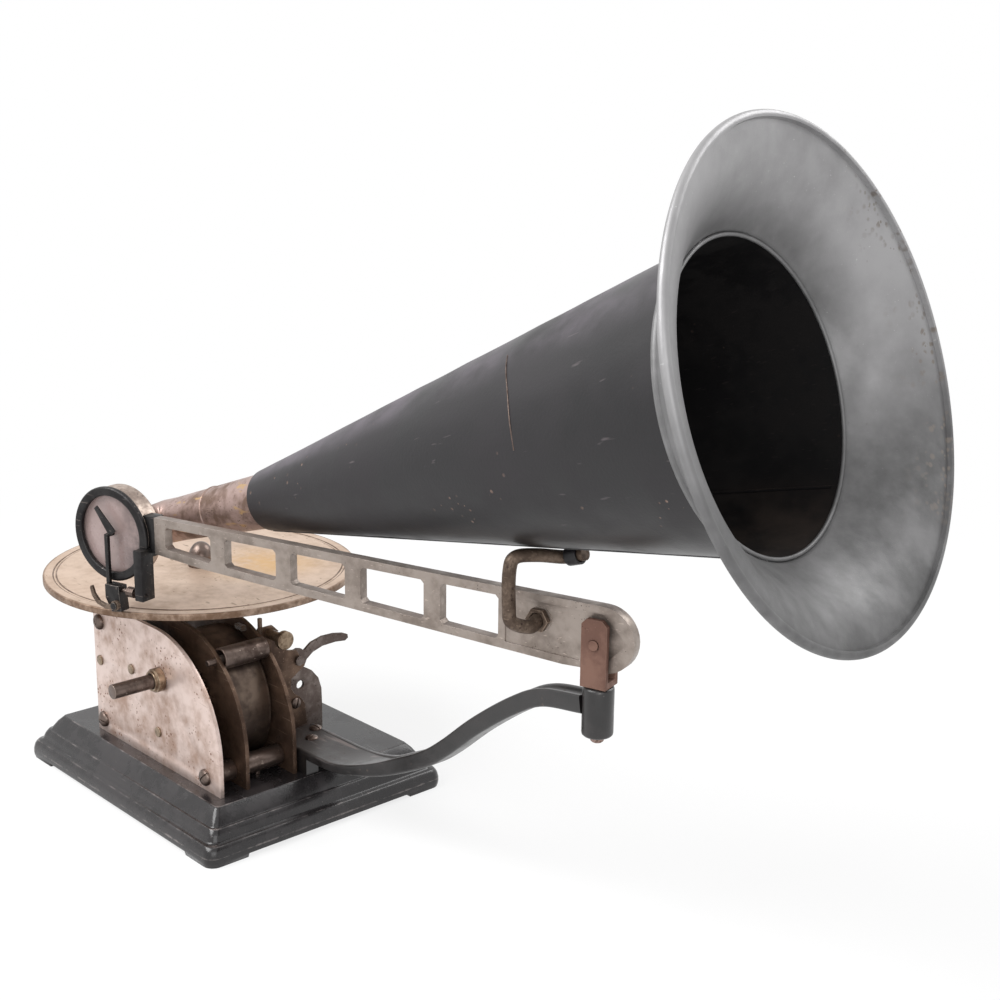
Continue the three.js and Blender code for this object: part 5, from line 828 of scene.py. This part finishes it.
# Needle lever: the crescent drawn in a little where it is far from its hinge
lever = {"near": 8, "drawn": 0.65, "round": 0.25}
form = nodeForm("needle_lever")
joints = {joint["name"]: joint for joint in behaviour["joints"]}
hinge = Vector(joints["needle_lever_turn"]["pos_m"]) * 1000
for vert in form.verts:
    away, beyond = vert.co - hinge, (vert.co - hinge).length - lever["near"]
    if beyond > 0:
        vert.co = hinge + away.normalized() * (lever["near"] + beyond * lever["drawn"])
weld(form)
roundedCopy("needleLeverBlade", "needle_lever", form, lever["round"])
print("flat parts done:", len(flatParts))

# Horn cone: thin sheet with a crease on its front, a lap inside and a folded seam along its underside
cone = {"length": 291.6, "narrow": 15.9, "wide": 64.7, "wall": 1, "fadeIn": 20, "fadeOut": 14,
        "dent": 0.35, "dentSize": 34, "dentTurns": 2.2,
        "crease": ((197, 127), (200, 137), (204.5, 152), (206, 166), (206, 179)), "creaseRadius": 0.32,
        "lap": (200, 230, 260, 289), "lapTurn": -45, "lapDepth": 1.1, "lapRadius": 0.7,
        "seamTurn": -104, "seamWidth": 3.4, "seamHeight": 0.5, "seamSunk": 0.1,
        "seam": ((-0.5, -0.15), (-0.4, 0.75), (0, 1), (0.4, 0.75), (0.5, -0.15))}


def coneRadius(along):
    return cone["narrow"] + (cone["wide"] - cone["narrow"]) * along / cone["length"]


def coneSpot(along, angle, lift=0.0):
    r = coneRadius(along) + lift
    return Vector((along, r * math.cos(angle), r * math.sin(angle)))


def dentAt(sheet, along, angle):
    around = sheet["dentTurns"] * math.cos(angle), sheet["dentTurns"] * math.sin(angle)
    return noise.noise(Vector((along / sheet["dentSize"], *around))) * sheet["dent"]


def coneWobble(r, a, angle):
    # shallow hammer marks, none at the two ends
    hold = min(1, a / cone["fadeIn"], (cone["length"] - a) / cone["fadeOut"])
    return r - abs(dentAt(cone, a, angle)) * max(hold, 0), a


outer = [(coneRadius(cone["length"] * i / 60), cone["length"] * i / 60) for i in range(61)]
inner = [(r - cone["wall"], a) for r, a in reversed(outer)]
form = turnedForm(bmesh.new(), outer + inner, "x", sides=144, wobble=coneWobble)
hornCone = makePiece("hornSheet", form, hornFrame, "horn", "horn_japan", ("horn_cone",), 40)
# the inside faces take the darker inside finish as painted shade
hornCone.data.materials.append(finishes["hornInside"])
for polygon in hornCone.data.polygons:
    spot = polygon.center * 1000
    if math.hypot(spot.y, spot.z) < coneRadius(spot.x) - cone["wall"] / 2:
        polygon.material_index = 1
creasePath = curvePoints([coneSpot(x, math.radians(a)) for x, a in cone["crease"]], 8)
sweptPiece("hornCrease", creasePath, cone["creaseRadius"], 12, hornFrame, "horn", "horn_japan", (), 60,
           "dark_steel")
lapPath = curvePoints([coneSpot(x, math.radians(cone["lapTurn"]), -cone["lapDepth"]) for x in cone["lap"]], 6)
sweptPiece("hornLap", lapPath, cone["lapRadius"], 12, hornFrame, "horn", "horn_japan", (), 60, "hornInside")

form = bmesh.new()
rows = []
for i in range(41):
    a = 2 + (cone["length"] - 8) * i / 40
    lifts = [(offset, lift * cone["seamHeight"] - cone["seamSunk"]) for offset, lift in cone["seam"]]
    rows.append([form.verts.new(coneSpot(a, math.radians(cone["seamTurn"]) + offset * cone["seamWidth"]
                                         / (coneRadius(a) + lift), lift)) for offset, lift in lifts])
joinRings(form, rows, True)
makePiece("hornSeam", form, hornFrame, "horn", "horn_japan", (), 40)

# Keeper that hangs under the cone and takes the rod's tip
keeper = {"tip": (188.9, 1.4, -51.3), "behind": 2.5, "length": 6.6, "radius": 4.5, "bore": 3.4, "web": 3.2,
          "webFoot": 3.9, "webSunk": 0.6}
tipX, tipY, tipZ = keeper["tip"]
keeperTo = tipX - keeper["behind"]
keeperFrom = keeperTo - keeper["length"]
ring = softened(sleeve(keeper["bore"], keeper["radius"], keeperFrom, keeperTo), 0.4)
form = turnedForm(bmesh.new(), ring, "x", (0, tipY, tipZ), 48)
boxForm(form, (keeperFrom, tipY - keeper["web"] / 2, tipZ + keeper["webFoot"]),
        (keeperTo, tipY + keeper["web"] / 2, keeper["webSunk"] - coneRadius(keeperFrom)))
makePiece("hornKeeper", form, hornFrame, "horn", "horn_japan")

# Bell: flared sheet with a rolled rim, a beaded joint on the cone and a ring in its throat
bell = {"seat": 65, "start": 287.6, "throat": 291.6, "depth": 29, "rim": 105, "bead": 2.1, "wall": 1,
        "flare": 1.8, "dent": 0.5, "dentSize": 22, "dentTurns": 1.6,
        "joint": ((0, 0), (1, 0.2), (1.5, 1), (1.5, 2), (1, 2.8)),
        "beadTurn": (250, 480)}
throatRing = {"radius": 64.2, "place": 292, "thick": 0.9}


def bellProfile(b):
    # outside of the flare, round the bead, then back along the inside
    beadCentre, mouth = b["rim"] - b["bead"], b["throat"] + b["depth"]
    flare, seat, run = b["flare"], b["seat"], beadCentre - b["seat"]
    outside, inside = [], []
    for i in range(26):
        s = i / 26
        r, a = seat + run * s, b["throat"] + b["depth"] * (1 - (1 - s) ** flare)
        slope = b["depth"] * flare * (1 - s) ** (flare - 1) / run
        size = math.hypot(1, slope)
        inside.append((r, a))
        outside.append((r + b["wall"] * slope / size, a - b["wall"] / size))
    first, last = b["beadTurn"]
    turns = [math.radians(first + (last - first) * i / 14) for i in range(15)]
    bead = [(beadCentre + b["bead"] * math.cos(t), mouth + b["bead"] * math.sin(t)) for t in turns]
    joint = [(seat + out, b["start"] + along) for out, along in b["joint"]]
    return joint + outside[1:] + bead + inside[::-1]


def bellWobble(r, a, angle):
    share = (r - bell["seat"]) / (bell["rim"] - bell["seat"])
    return r, a + dentAt(bell, r, angle) * share - bell["dent"] * share


form = turnedForm(bmesh.new(), bellProfile(bell), "x", sides=192, wobble=bellWobble)
makePiece("bellSheet", form, hornFrame, "horn", "grey_tin", ("horn_bell",), 50)
ring = [(throatRing["radius"] + throatRing["thick"] * math.cos(turn * math.pi / 5),
         throatRing["place"] + throatRing["thick"] * math.sin(turn * math.pi / 5)) for turn in range(10)]
form = turnedForm(bmesh.new(), ring, "x", sides=144)
makePiece("bellThroatRing", form, hornFrame, "horn", "grey_tin", (), 60)
print("horn done")

# Elbow between the sound box and the horn, with a soldered ring where its sections meet
elbow = {"root": (-287, 5.2, 158.3), "neck": 8.4, "bend": 10.8, "end": 14.4, "run": 17, "spigot": 12,
         "wall": 1, "sides": 56, "ringAt": 0.42, "ringHeight": 0.5, "ringWidth": 1.6, "ringSunk": 0.05,
         "neckStep": 0.4, "bendStep": 1, "bendPace": 1.6, "bendSteps": 14}
hornWay = (armFrame.to_3x3().inverted() @ hornFrame.to_3x3() @ Vector((1, 0, 0))).normalized()
root, mouth = Vector(elbow["root"]), Vector(armPlace["mouth"])
corner = mouth + hornWay * ((root.x - mouth.x) / hornWay.x)
start, end = corner - (corner - root).normalized() * elbow["run"], corner + hornWay * elbow["run"]
neck, steps = elbow["neck"], elbow["bendSteps"]
path = [root, root.lerp(start, 0.5)] + bentPath(start, corner, end, steps)
radii = [neck, neck + elbow["neckStep"]]
for i in range(steps + 1):
    share = min(i / steps * elbow["bendPace"], 1)
    radii.append(neck + elbow["bendStep"] + (elbow["bend"] - neck) * share)
bendRadius = radii[-1]
path += [end.lerp(mouth, i / 6) for i in range(1, 7)] + [mouth + hornWay * elbow["spigot"]]
radii += [bendRadius + (elbow["end"] - bendRadius) * i / 6 for i in range(1, 7)] + [elbow["end"]]
form = bmesh.new()
outRings = sweptForm(form, path, radii, elbow["sides"], False)
inRings = sweptForm(form, path, [r - elbow["wall"] for r in radii], elbow["sides"], False)
for i in (0, -1):
    joinRings(form, (outRings[i], inRings[i]))
makePiece("elbowTube", form, armFrame, "arm", "old_brass", ("elbow",), 50)

ringMiddle = end.lerp(mouth, elbow["ringAt"])
ringBase = bendRadius + (elbow["end"] - bendRadius) * elbow["ringAt"] - elbow["ringSunk"]
sweptPiece("elbowSeam", [ringMiddle + hornWay * elbow["ringWidth"] * (i / 6 - 0.5) for i in range(7)],
           [ringBase + elbow["ringHeight"] * math.sin(math.pi * i / 6) for i in range(7)], elbow["sides"],
           armFrame, "arm", "old_brass", (), 50)
print("elbow done")

# Rod that steadies the horn
rod = {"radius": 3.1, "nut": (-28.9, 159.7), "through": 2.8, "straight": -5.8, "outset": 16.5,
       "upright": -36.8, "low": 157.8, "top": 190.3, "shoulder": 184, "tip": (-8.5, 0.3, 192.6), "run": 13,
       "bend": 1.55, "rise": 3.1, "dip": 0.3, "outShares": (0.66, 0.86, 0.42)}
(nutX, nutZ), tip = rod["nut"], Vector(rod["tip"])
outset, upright, low, top, dip = rod["outset"], rod["upright"], rod["low"], rod["top"], rod["dip"]
firstOut, thirdOut, lastOut = [-outset * share for share in rod["outShares"]]
lastRun = tip - hornWay * rod["run"]
rodPlaces = [(nutX, rod["through"], nutZ), (nutX, -rod["through"], nutZ), (nutX, rod["straight"], nutZ),
             (nutX - dip, firstOut, low + dip), (upright + rod["bend"], -outset, low + rod["rise"]),
             (upright, -outset, (low + rod["shoulder"]) / 2 - rod["rise"]),
             (upright, -outset, rod["shoulder"]), (upright + rod["bend"], thirdOut, top - dip),
             ((upright + lastRun.x) / 2, lastOut, top)]
rodPlaces += [lastRun.lerp(tip, i / 3) for i in range(4)]
sweptPiece("hornRodBar", curvePoints(rodPlaces, 8), rod["radius"], 28, armFrame, "arm", "brown_rod",
           ("horn_rod",), 40)
print("rod done")

# Pillars between the motor plates; the top front one runs through a spacer tube
motor = {"leftInner": -57.1, "leftOuter": -59.3, "middleLeft": -43.2, "middleRight": -41, "rightInner": -12.8,
         "rightOuter": -10.6}
pillar = {"radius": 5.8, "core": 2.6, "tenon": 1.8, "tenonEnd": -48.2, "bore": 2.1, "round": 0.5}
tube = {"radius": 6, "bore": 4.9, "forward": 1.15, "up": 1.25, "left": -40.6, "right": -13}
boltPlaces = {}
for key in ("back_top", "back_low", "front_low", "front_top"):
    node = "pillar_long_" + key
    low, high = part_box(node)
    boltPlaces[key] = x, y, z = benchSpot(low, high)
    wide = pillar["core"] if key == "front_top" else pillar["radius"]
    stem, left, right = pillar["tenon"], motor["middleRight"], motor["rightInner"]
    shape = [(0, pillar["tenonEnd"]), (stem, pillar["tenonEnd"]), (stem, left), (wide, left), (wide, right),
             (stem, right), (stem, motor["rightOuter"]), (0, motor["rightOuter"])]
    turnedPiece("longPillar_" + key, shape, benchFrame, "base", "dark_steel", (node,),
                centre=(x, y, z), rounding=pillar["round"])
    if key == "front_top":
        shape = sleeve(tube["bore"], tube["radius"], tube["left"], tube["right"])
        turnedPiece("topSpacerTube", shape, benchFrame, "base", "dark_steel",
                    centre=(x + tube["forward"], y, z + tube["up"]), sides=56)
    else:
        shape = sleeve(pillar["bore"], pillar["radius"], motor["leftInner"], motor["middleLeft"])
        turnedPiece("shortPillar_" + key, shape, benchFrame, "base", "dark_steel", ("pillar_short_" + key,),
                    centre=(x, y, z), rounding=pillar["round"])


# Screws: domed heads with a slot cut across
screwHead = {"edge": 0.5, "slotHalf": 0.45, "slotDepth": 0.7, "slotFrom": 0.35, "worn": (0.1, 0.8),
             "wear": 0.7}
screws = {"plate": {"head": 4.6, "height": 3, "shank": 1.5, "length": 7.2},
          "bracket": {"head": 3.6, "height": 2, "shank": 2, "length": 12},
          "speedPlate": {"head": 3.2, "height": 2, "shank": 1.5, "length": 3}}


def slottedScrew(name, node, frameMatrix, slotTurn, head, height, shank, length):
    shape = [(0, -length), (shank, -length), (shank, 0), (head, 0)]
    edge = screwHead["edge"]
    for step in range(1, 7):
        angle = math.pi / 2 * step / 7
        shape.append((head * math.cos(angle), edge + (height - edge) * math.sin(angle)))
    form = turnedForm(bmesh.new(), shape + [(0, height)], "z", sides=36)
    across = Vector((math.cos(slotTurn), math.sin(slotTurn), 0))
    for way in (-1, 1):
        bmesh.ops.bisect_plane(form, geom=list(form.verts) + list(form.edges) + list(form.faces),
                               plane_co=across * screwHead["slotHalf"] * way, plane_no=across)
    mark = form.verts.layers.float.new("edge")
    lowest, highest = screwHead["worn"]
    for vert in form.verts:
        inSlot = abs(vert.co.dot(across)) < screwHead["slotHalf"] - 0.01
        if inSlot and vert.co.z > height * screwHead["slotFrom"]:
            vert.co.z -= screwHead["slotDepth"]
        if lowest < vert.co.z < highest:
            vert[mark] = screwHead["wear"]
    makePiece(name, form, frameMatrix, "base", "dark_steel", (node,), 30)


for key, slotTurn in (("back_top", 0.6), ("back_low", 1.5), ("front_low", 2.4)):
    x, y, z = boltPlaces[key]
    spot = benchFrame @ mmShift(x, motor["leftOuter"], z) @ turnBy(90, "X")
    slottedScrew("plateScrew_" + key, "plate_screw_" + key, spot, slotTurn, **screws["plate"])
studs = {"places": ((19.1, 72.9), (-15.6, 68.5), (45.2, 43.9)), "radius": 2.9, "height": 0.8, "sunk": 0.1}
form = bmesh.new()
face = motor["leftOuter"]
for x, z in studs["places"]:
    shape = softened(sleeve(0, studs["radius"], face - studs["height"], face + studs["sunk"]))
    turnedForm(form, shape, "y", (x, 0, z))
makePiece("plateStuds", form, benchFrame, "base", "dark_steel", finish="dullBushing")
headSunk = 0.002
for key, slotTurn in (("outer", 0.4), ("inner", 1.7)):
    low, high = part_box("bracket_screw_" + key)
    spot = Matrix.Translation(((low[0] + high[0]) / 2, (low[1] + high[1]) / 2, high[2] - headSunk))
    slottedScrew("bracketScrew_" + key, "bracket_screw_" + key, spot, slotTurn, **screws["bracket"])
low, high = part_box("speed_plate_screw")
spot = Matrix.Translation((high[0] - headSunk, (low[1] + high[1]) / 2, (low[2] + high[2]) / 2))
slottedScrew("speedPlateScrew", "speed_plate_screw", spot @ turnBy(90, "Y"), 1.2, **screws["speedPlate"])
print("pillars and screws done")

# Spring drum with a rolled edge, and the great wheel on its left side
drum = {"radius": 39, "left": -39.7, "right": -14.1, "wall": 1.4, "hub": 6.3, "bore": 4.35}
cover = {"radius": 38.4, "bore": 4.3, "thick": 1.2}
wheel = {"teeth": 36, "pitch": 27, "thick": 3.4, "y": -45.4, "phase": 153.9, "bore": 4.4,
         "root": 1.05, "tip": 0.8}


def gearForm(form, g, spot):
    module = 2 * g["pitch"] / g["teeth"]
    root, tip = g["pitch"] - module * g["root"], g["pitch"] + module * g["tip"]
    steps = ((root, -0.25), (root + 0.1, -0.21), (tip, -0.11), (tip, 0.11), (root + 0.1, 0.21), (root, 0.25))
    layers = []
    for y in (g["y"] - g["thick"] / 2, g["y"] + g["thick"] / 2):
        rim, eye = [], []
        for tooth in range(g["teeth"]):
            for r, share in steps:
                angle = math.radians(g["phase"]) + (tooth + share) * 2 * math.pi / g["teeth"]
                for ring, radius in ((rim, r), (eye, g["bore"])):
                    ring.append(form.verts.new((spot[0] + radius * math.cos(angle), y,
                                                spot[2] + radius * math.sin(angle))))
        layers.append((rim, eye))
    (rim, eye), (otherRim, otherEye) = layers
    for pair in ((rim, eye), (otherRim, otherEye), (rim, otherRim), (eye, otherEye)):
        joinRings(form, pair)


low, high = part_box("barrel_cover")
drumSpot = benchSpot(low, high)
radius, inner, hub, left = drum["radius"], drum["radius"] - drum["wall"], drum["hub"], drum["left"]
floor, rimEnd = left + drum["wall"], drum["right"] - cover["thick"]
shape = [(hub, left), (radius, left), (radius, rimEnd), (inner, rimEnd), (inner, floor), (hub, floor)]
form = turnedForm(bmesh.new(), softened(shape, 0.5), "y", drumSpot, 128)
gearForm(form, wheel, drumSpot)
turnedForm(form, sleeve(drum["bore"], hub, wheel["y"], left + 0.2), "y", drumSpot, 48)
makePiece("springDrum", form, benchFrame, "barrel", "blued_steel", ("spring_barrel",))
turnedPiece("drumCover", sleeve(cover["bore"], cover["radius"], rimEnd, drum["right"]), benchFrame, "barrel",
            "blued_steel", ("barrel_cover",), centre=drumSpot, sides=128, rounding=0.4)
print("drum done")

# Winding bushing and the yoke's pin, nut and other small turned parts
collar = [(4.3, -65.3), (5.6, -65.3), (5.6, -63.7), (6.6, -63.7), (6.6, -59.3), (5, -59.3), (5, -57.1),
          (4.3, -57.1)]
low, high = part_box("winding_bushing")
turnedPiece("windingCollar", collar, benchFrame, "base", "dark_steel", ("winding_bushing",),
            centre=benchSpot(low, high), sides=56, rounding=0.5, finish="dullBushing")

pin = {"z": 153.7, "half": 6.3, "head": 2.4, "headThick": 0.3, "radius": 2.2}
half, far = pin["half"], pin["half"] + pin["headThick"]
shape = [(0, -far), (pin["head"], -far), (pin["head"], -half), (pin["radius"], -half), (pin["radius"], half),
         (pin["head"], half), (pin["head"], far), (0, far)]
turnedPiece("yokePinBar", shape, armFrame, "swivel", slotOf["yoke"], ("yoke_pin",), centre=(0, 0, pin["z"]),
            rounding=0.3)
nut = {"top": 109.4, "radius": 3.1, "length": 2.7, "bevel": 0.8, "stem": 1.2, "stemLength": 3.7}
foot, wide, top, stem = nut["top"] - nut["length"], nut["radius"], nut["top"], nut["stem"]
stemTop = top + nut["stemLength"]
shape = [(0, foot), (wide - nut["bevel"], foot), (wide, foot + nut["bevel"]), (wide, top), (stem, top),
         (stem, stemTop), (0, stemTop)]
turnedPiece("stemNutBrass", shape, armFrame, "swivel", "old_brass", ("stem_nut",), "z", rounding=0.3)

# Speed screw with its collar and flat head, each step as radius and distance from the head's face
speedScrew = ((0, 22.4), (1.9, 22.4), (1.9, 16.1), (2.9, 16.1), (2.9, 3.2), (5.2, 3.2), (5.2, 0), (0, 0))
low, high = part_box("speed_screw")
headEnd = (high[0] - spindleX) * 1000
screwSpot = (0, ((low[1] + high[1]) / 2 - spindleY) * 1000, (low[2] + high[2]) / 2 * 1000)
turnedPiece("speedScrewKnob", [(r, headEnd - back) for r, back in speedScrew], benchFrame, "speed_screw",
            "pale_nickel", ("speed_screw",), "x", screwSpot, 48, finish="dullBushing")
print("small turned parts done")

# Sound box: cup, ring, diaphragm and lugs round the arm's tip
soundBox = {"x": -287, "z": 158.3, "ring": 25.4, "ringInner": 20.6, "front": -6, "ringThick": 2.6, "back": 7,
            "neck": 8.85, "sides": 112, "mica": 22.4, "micaThick": 0.6, "micaGap": 0.4, "cupGap": 0.3,
            "ringLip": 0.5, "ringEdge": 0.8,
            "cup": ((8.85, -2.4), (22.8, -2.4), (22.8, None), (24.6, None), (24.6, 0), (12.4, 0), (11.4, 1),
                    (11.4, 3), (9.85, 3), (9.85, -0.6), (8.85, -0.6)),
            "lugs": (((-272, -2.6, 151.6), (-258.5, 5, 171)), ((-266.6, -10.4, 126.6), (-261, -1.3, 154)),
                     ((-266.6, -2.6, 149.2), (-261, 5, 154))), "lugRound": 0.4}
boxCentre = (soundBox["x"], 0, soundBox["z"])
front, ring, inner = soundBox["front"], soundBox["ring"], soundBox["ringInner"]
ringBack = front + soundBox["ringThick"]
cupFront = ringBack + soundBox["cupGap"]
shape = [(r, cupFront if behind is None else soundBox["back"] + behind) for r, behind in soundBox["cup"]]
# the cup takes the lighter box side finish, partly painted light
turnedPiece("soundBoxCup", shape, armFrame, "arm", "gun_metal", ("soundbox_housing",), centre=boxCentre,
            sides=soundBox["sides"], rounding=0.6, finish="boxSide")
blocks = bmesh.new()
for low, high in soundBox["lugs"]:
    boxForm(blocks, low, high)
bmesh.ops.bevel(blocks, geom=list(blocks.edges), offset=soundBox["lugRound"], segments=2, profile=0.5,
                affect="EDGES")
makePiece("soundBoxLugs", blocks, armFrame, "arm", "gun_metal")
edge = soundBox["ringEdge"]
shape = [(inner, front + soundBox["ringLip"]), (inner + edge, front), (ring - edge, front),
         (ring, front + edge), (ring, ringBack), (inner, ringBack)]
turnedPiece("soundBoxRing", shape, armFrame, "arm", "gun_metal", ("soundbox_ring",), centre=boxCentre,
            sides=soundBox["sides"], rounding=0.4)
micaFront = cupFront + soundBox["micaGap"]
turnedPiece("micaSheet", sleeve(0, soundBox["mica"], micaFront, micaFront + soundBox["micaThick"]), armFrame,
            "arm", "mica", ("diaphragm",), centre=boxCentre, sides=96, rounding=0.15)
print("sound box done")

# The nodes that stay as drawn take the finish of their slot
for name, node in nodes.items():
    node.data.materials.clear()
    node.data.materials.append(finishes[slotOf[name]])
    for polygon in node.data.polygons:
        polygon.use_smooth = True
    node.data.set_sharp_from_angle(angle=math.radians(34))

# Studio: pale floor that turns white away from the object, soft lamps, white surroundings
studio = {"around": 0.55, "floorGlow": 0.78, "floorHalf": 9, "glowFrom": 0.3, "glowTo": 0.85,
          "target": (0, 0, 0.17),
          "lamps": {"topLeftSoftbox": (34, (1.4, 1.0), (-0.5, -1.1, 1.5)),
                    "frontFill": (9, (1.2, 1.2), (1.3, -0.9, 0.7)),
                    "backEdge": (10, (1.0, 0.8), (0.3, 1.3, 1.2))}}
floorMesh = bpy.data.meshes.new("studioFloor")
floorForm = bmesh.new()
reach = studio["floorHalf"]
corners = [(x * reach, y * reach, 0) for x, y in ((-1, -1), (1, -1), (1, 1), (-1, 1))]
floorForm.faces.new([floorForm.verts.new(spot) for spot in corners])
floorForm.to_mesh(floorMesh)
floorForm.free()
floorPiece = bpy.data.objects.new("studioFloor", floorMesh)
bpy.context.collection.objects.link(floorPiece)


def seenDirectly(tree):
    # one for what the camera sees itself, or in a mirror or through glass
    path = tree.nodes.new("ShaderNodeLightPath").outputs
    return mathNode(tree, "MAXIMUM", path["Is Camera Ray"],
                    mathNode(tree, "MAXIMUM", path["Is Glossy Ray"], path["Is Transmission Ray"]))


def floorFinish():
    finish, tree, shader = startFinish("paleFloor")
    tree.nodes.remove(shader)
    matt = addNode(tree, "ShaderNodeBsdfDiffuse", Color=(0.86, 0.86, 0.86, 1))
    glow = addNode(tree, "ShaderNodeEmission", Color=(1, 1, 1, 1), Strength=1.0)
    away = reachOf(tree, *axes(tree)[:2])
    share = spread(tree, away, studio["glowFrom"], studio["glowTo"], studio["floorGlow"], 1)
    mix = tree.nodes.new("ShaderNodeMixShader")
    for slot, value in enumerate((times(tree, seenDirectly(tree), share), matt.outputs[0], glow.outputs[0])):
        tree.links.new(value, mix.inputs[slot])
    tree.links.new(mix.outputs[0], tree.nodes["Material Output"].inputs["Surface"])
    return finish


floorMesh.materials.append(floorFinish())

world = bpy.data.worlds.new("whiteSurroundings")
bpy.context.scene.world = world
world.use_nodes = True
backdrop = world.node_tree.nodes["Background"]
backdrop.inputs["Color"].default_value = (1, 1, 1, 1)
strength = spread(world.node_tree, seenDirectly(world.node_tree), 0, 1, studio["around"], 1)
world.node_tree.links.new(strength, backdrop.inputs["Strength"])

for name, (power, size, spot) in studio["lamps"].items():
    lamp = bpy.data.lights.new(name, "AREA")
    lamp.energy, lamp.shape = power, "RECTANGLE"
    lamp.size, lamp.size_y = size
    holder = bpy.data.objects.new(name, lamp)
    bpy.context.collection.objects.link(holder)
    aim = (Vector(studio["target"]) - Vector(spot)).to_track_quat("-Z", "Y")
    holder.matrix_world = Matrix.Translation(spot) @ aim.to_matrix().to_4x4()
print("studio done")
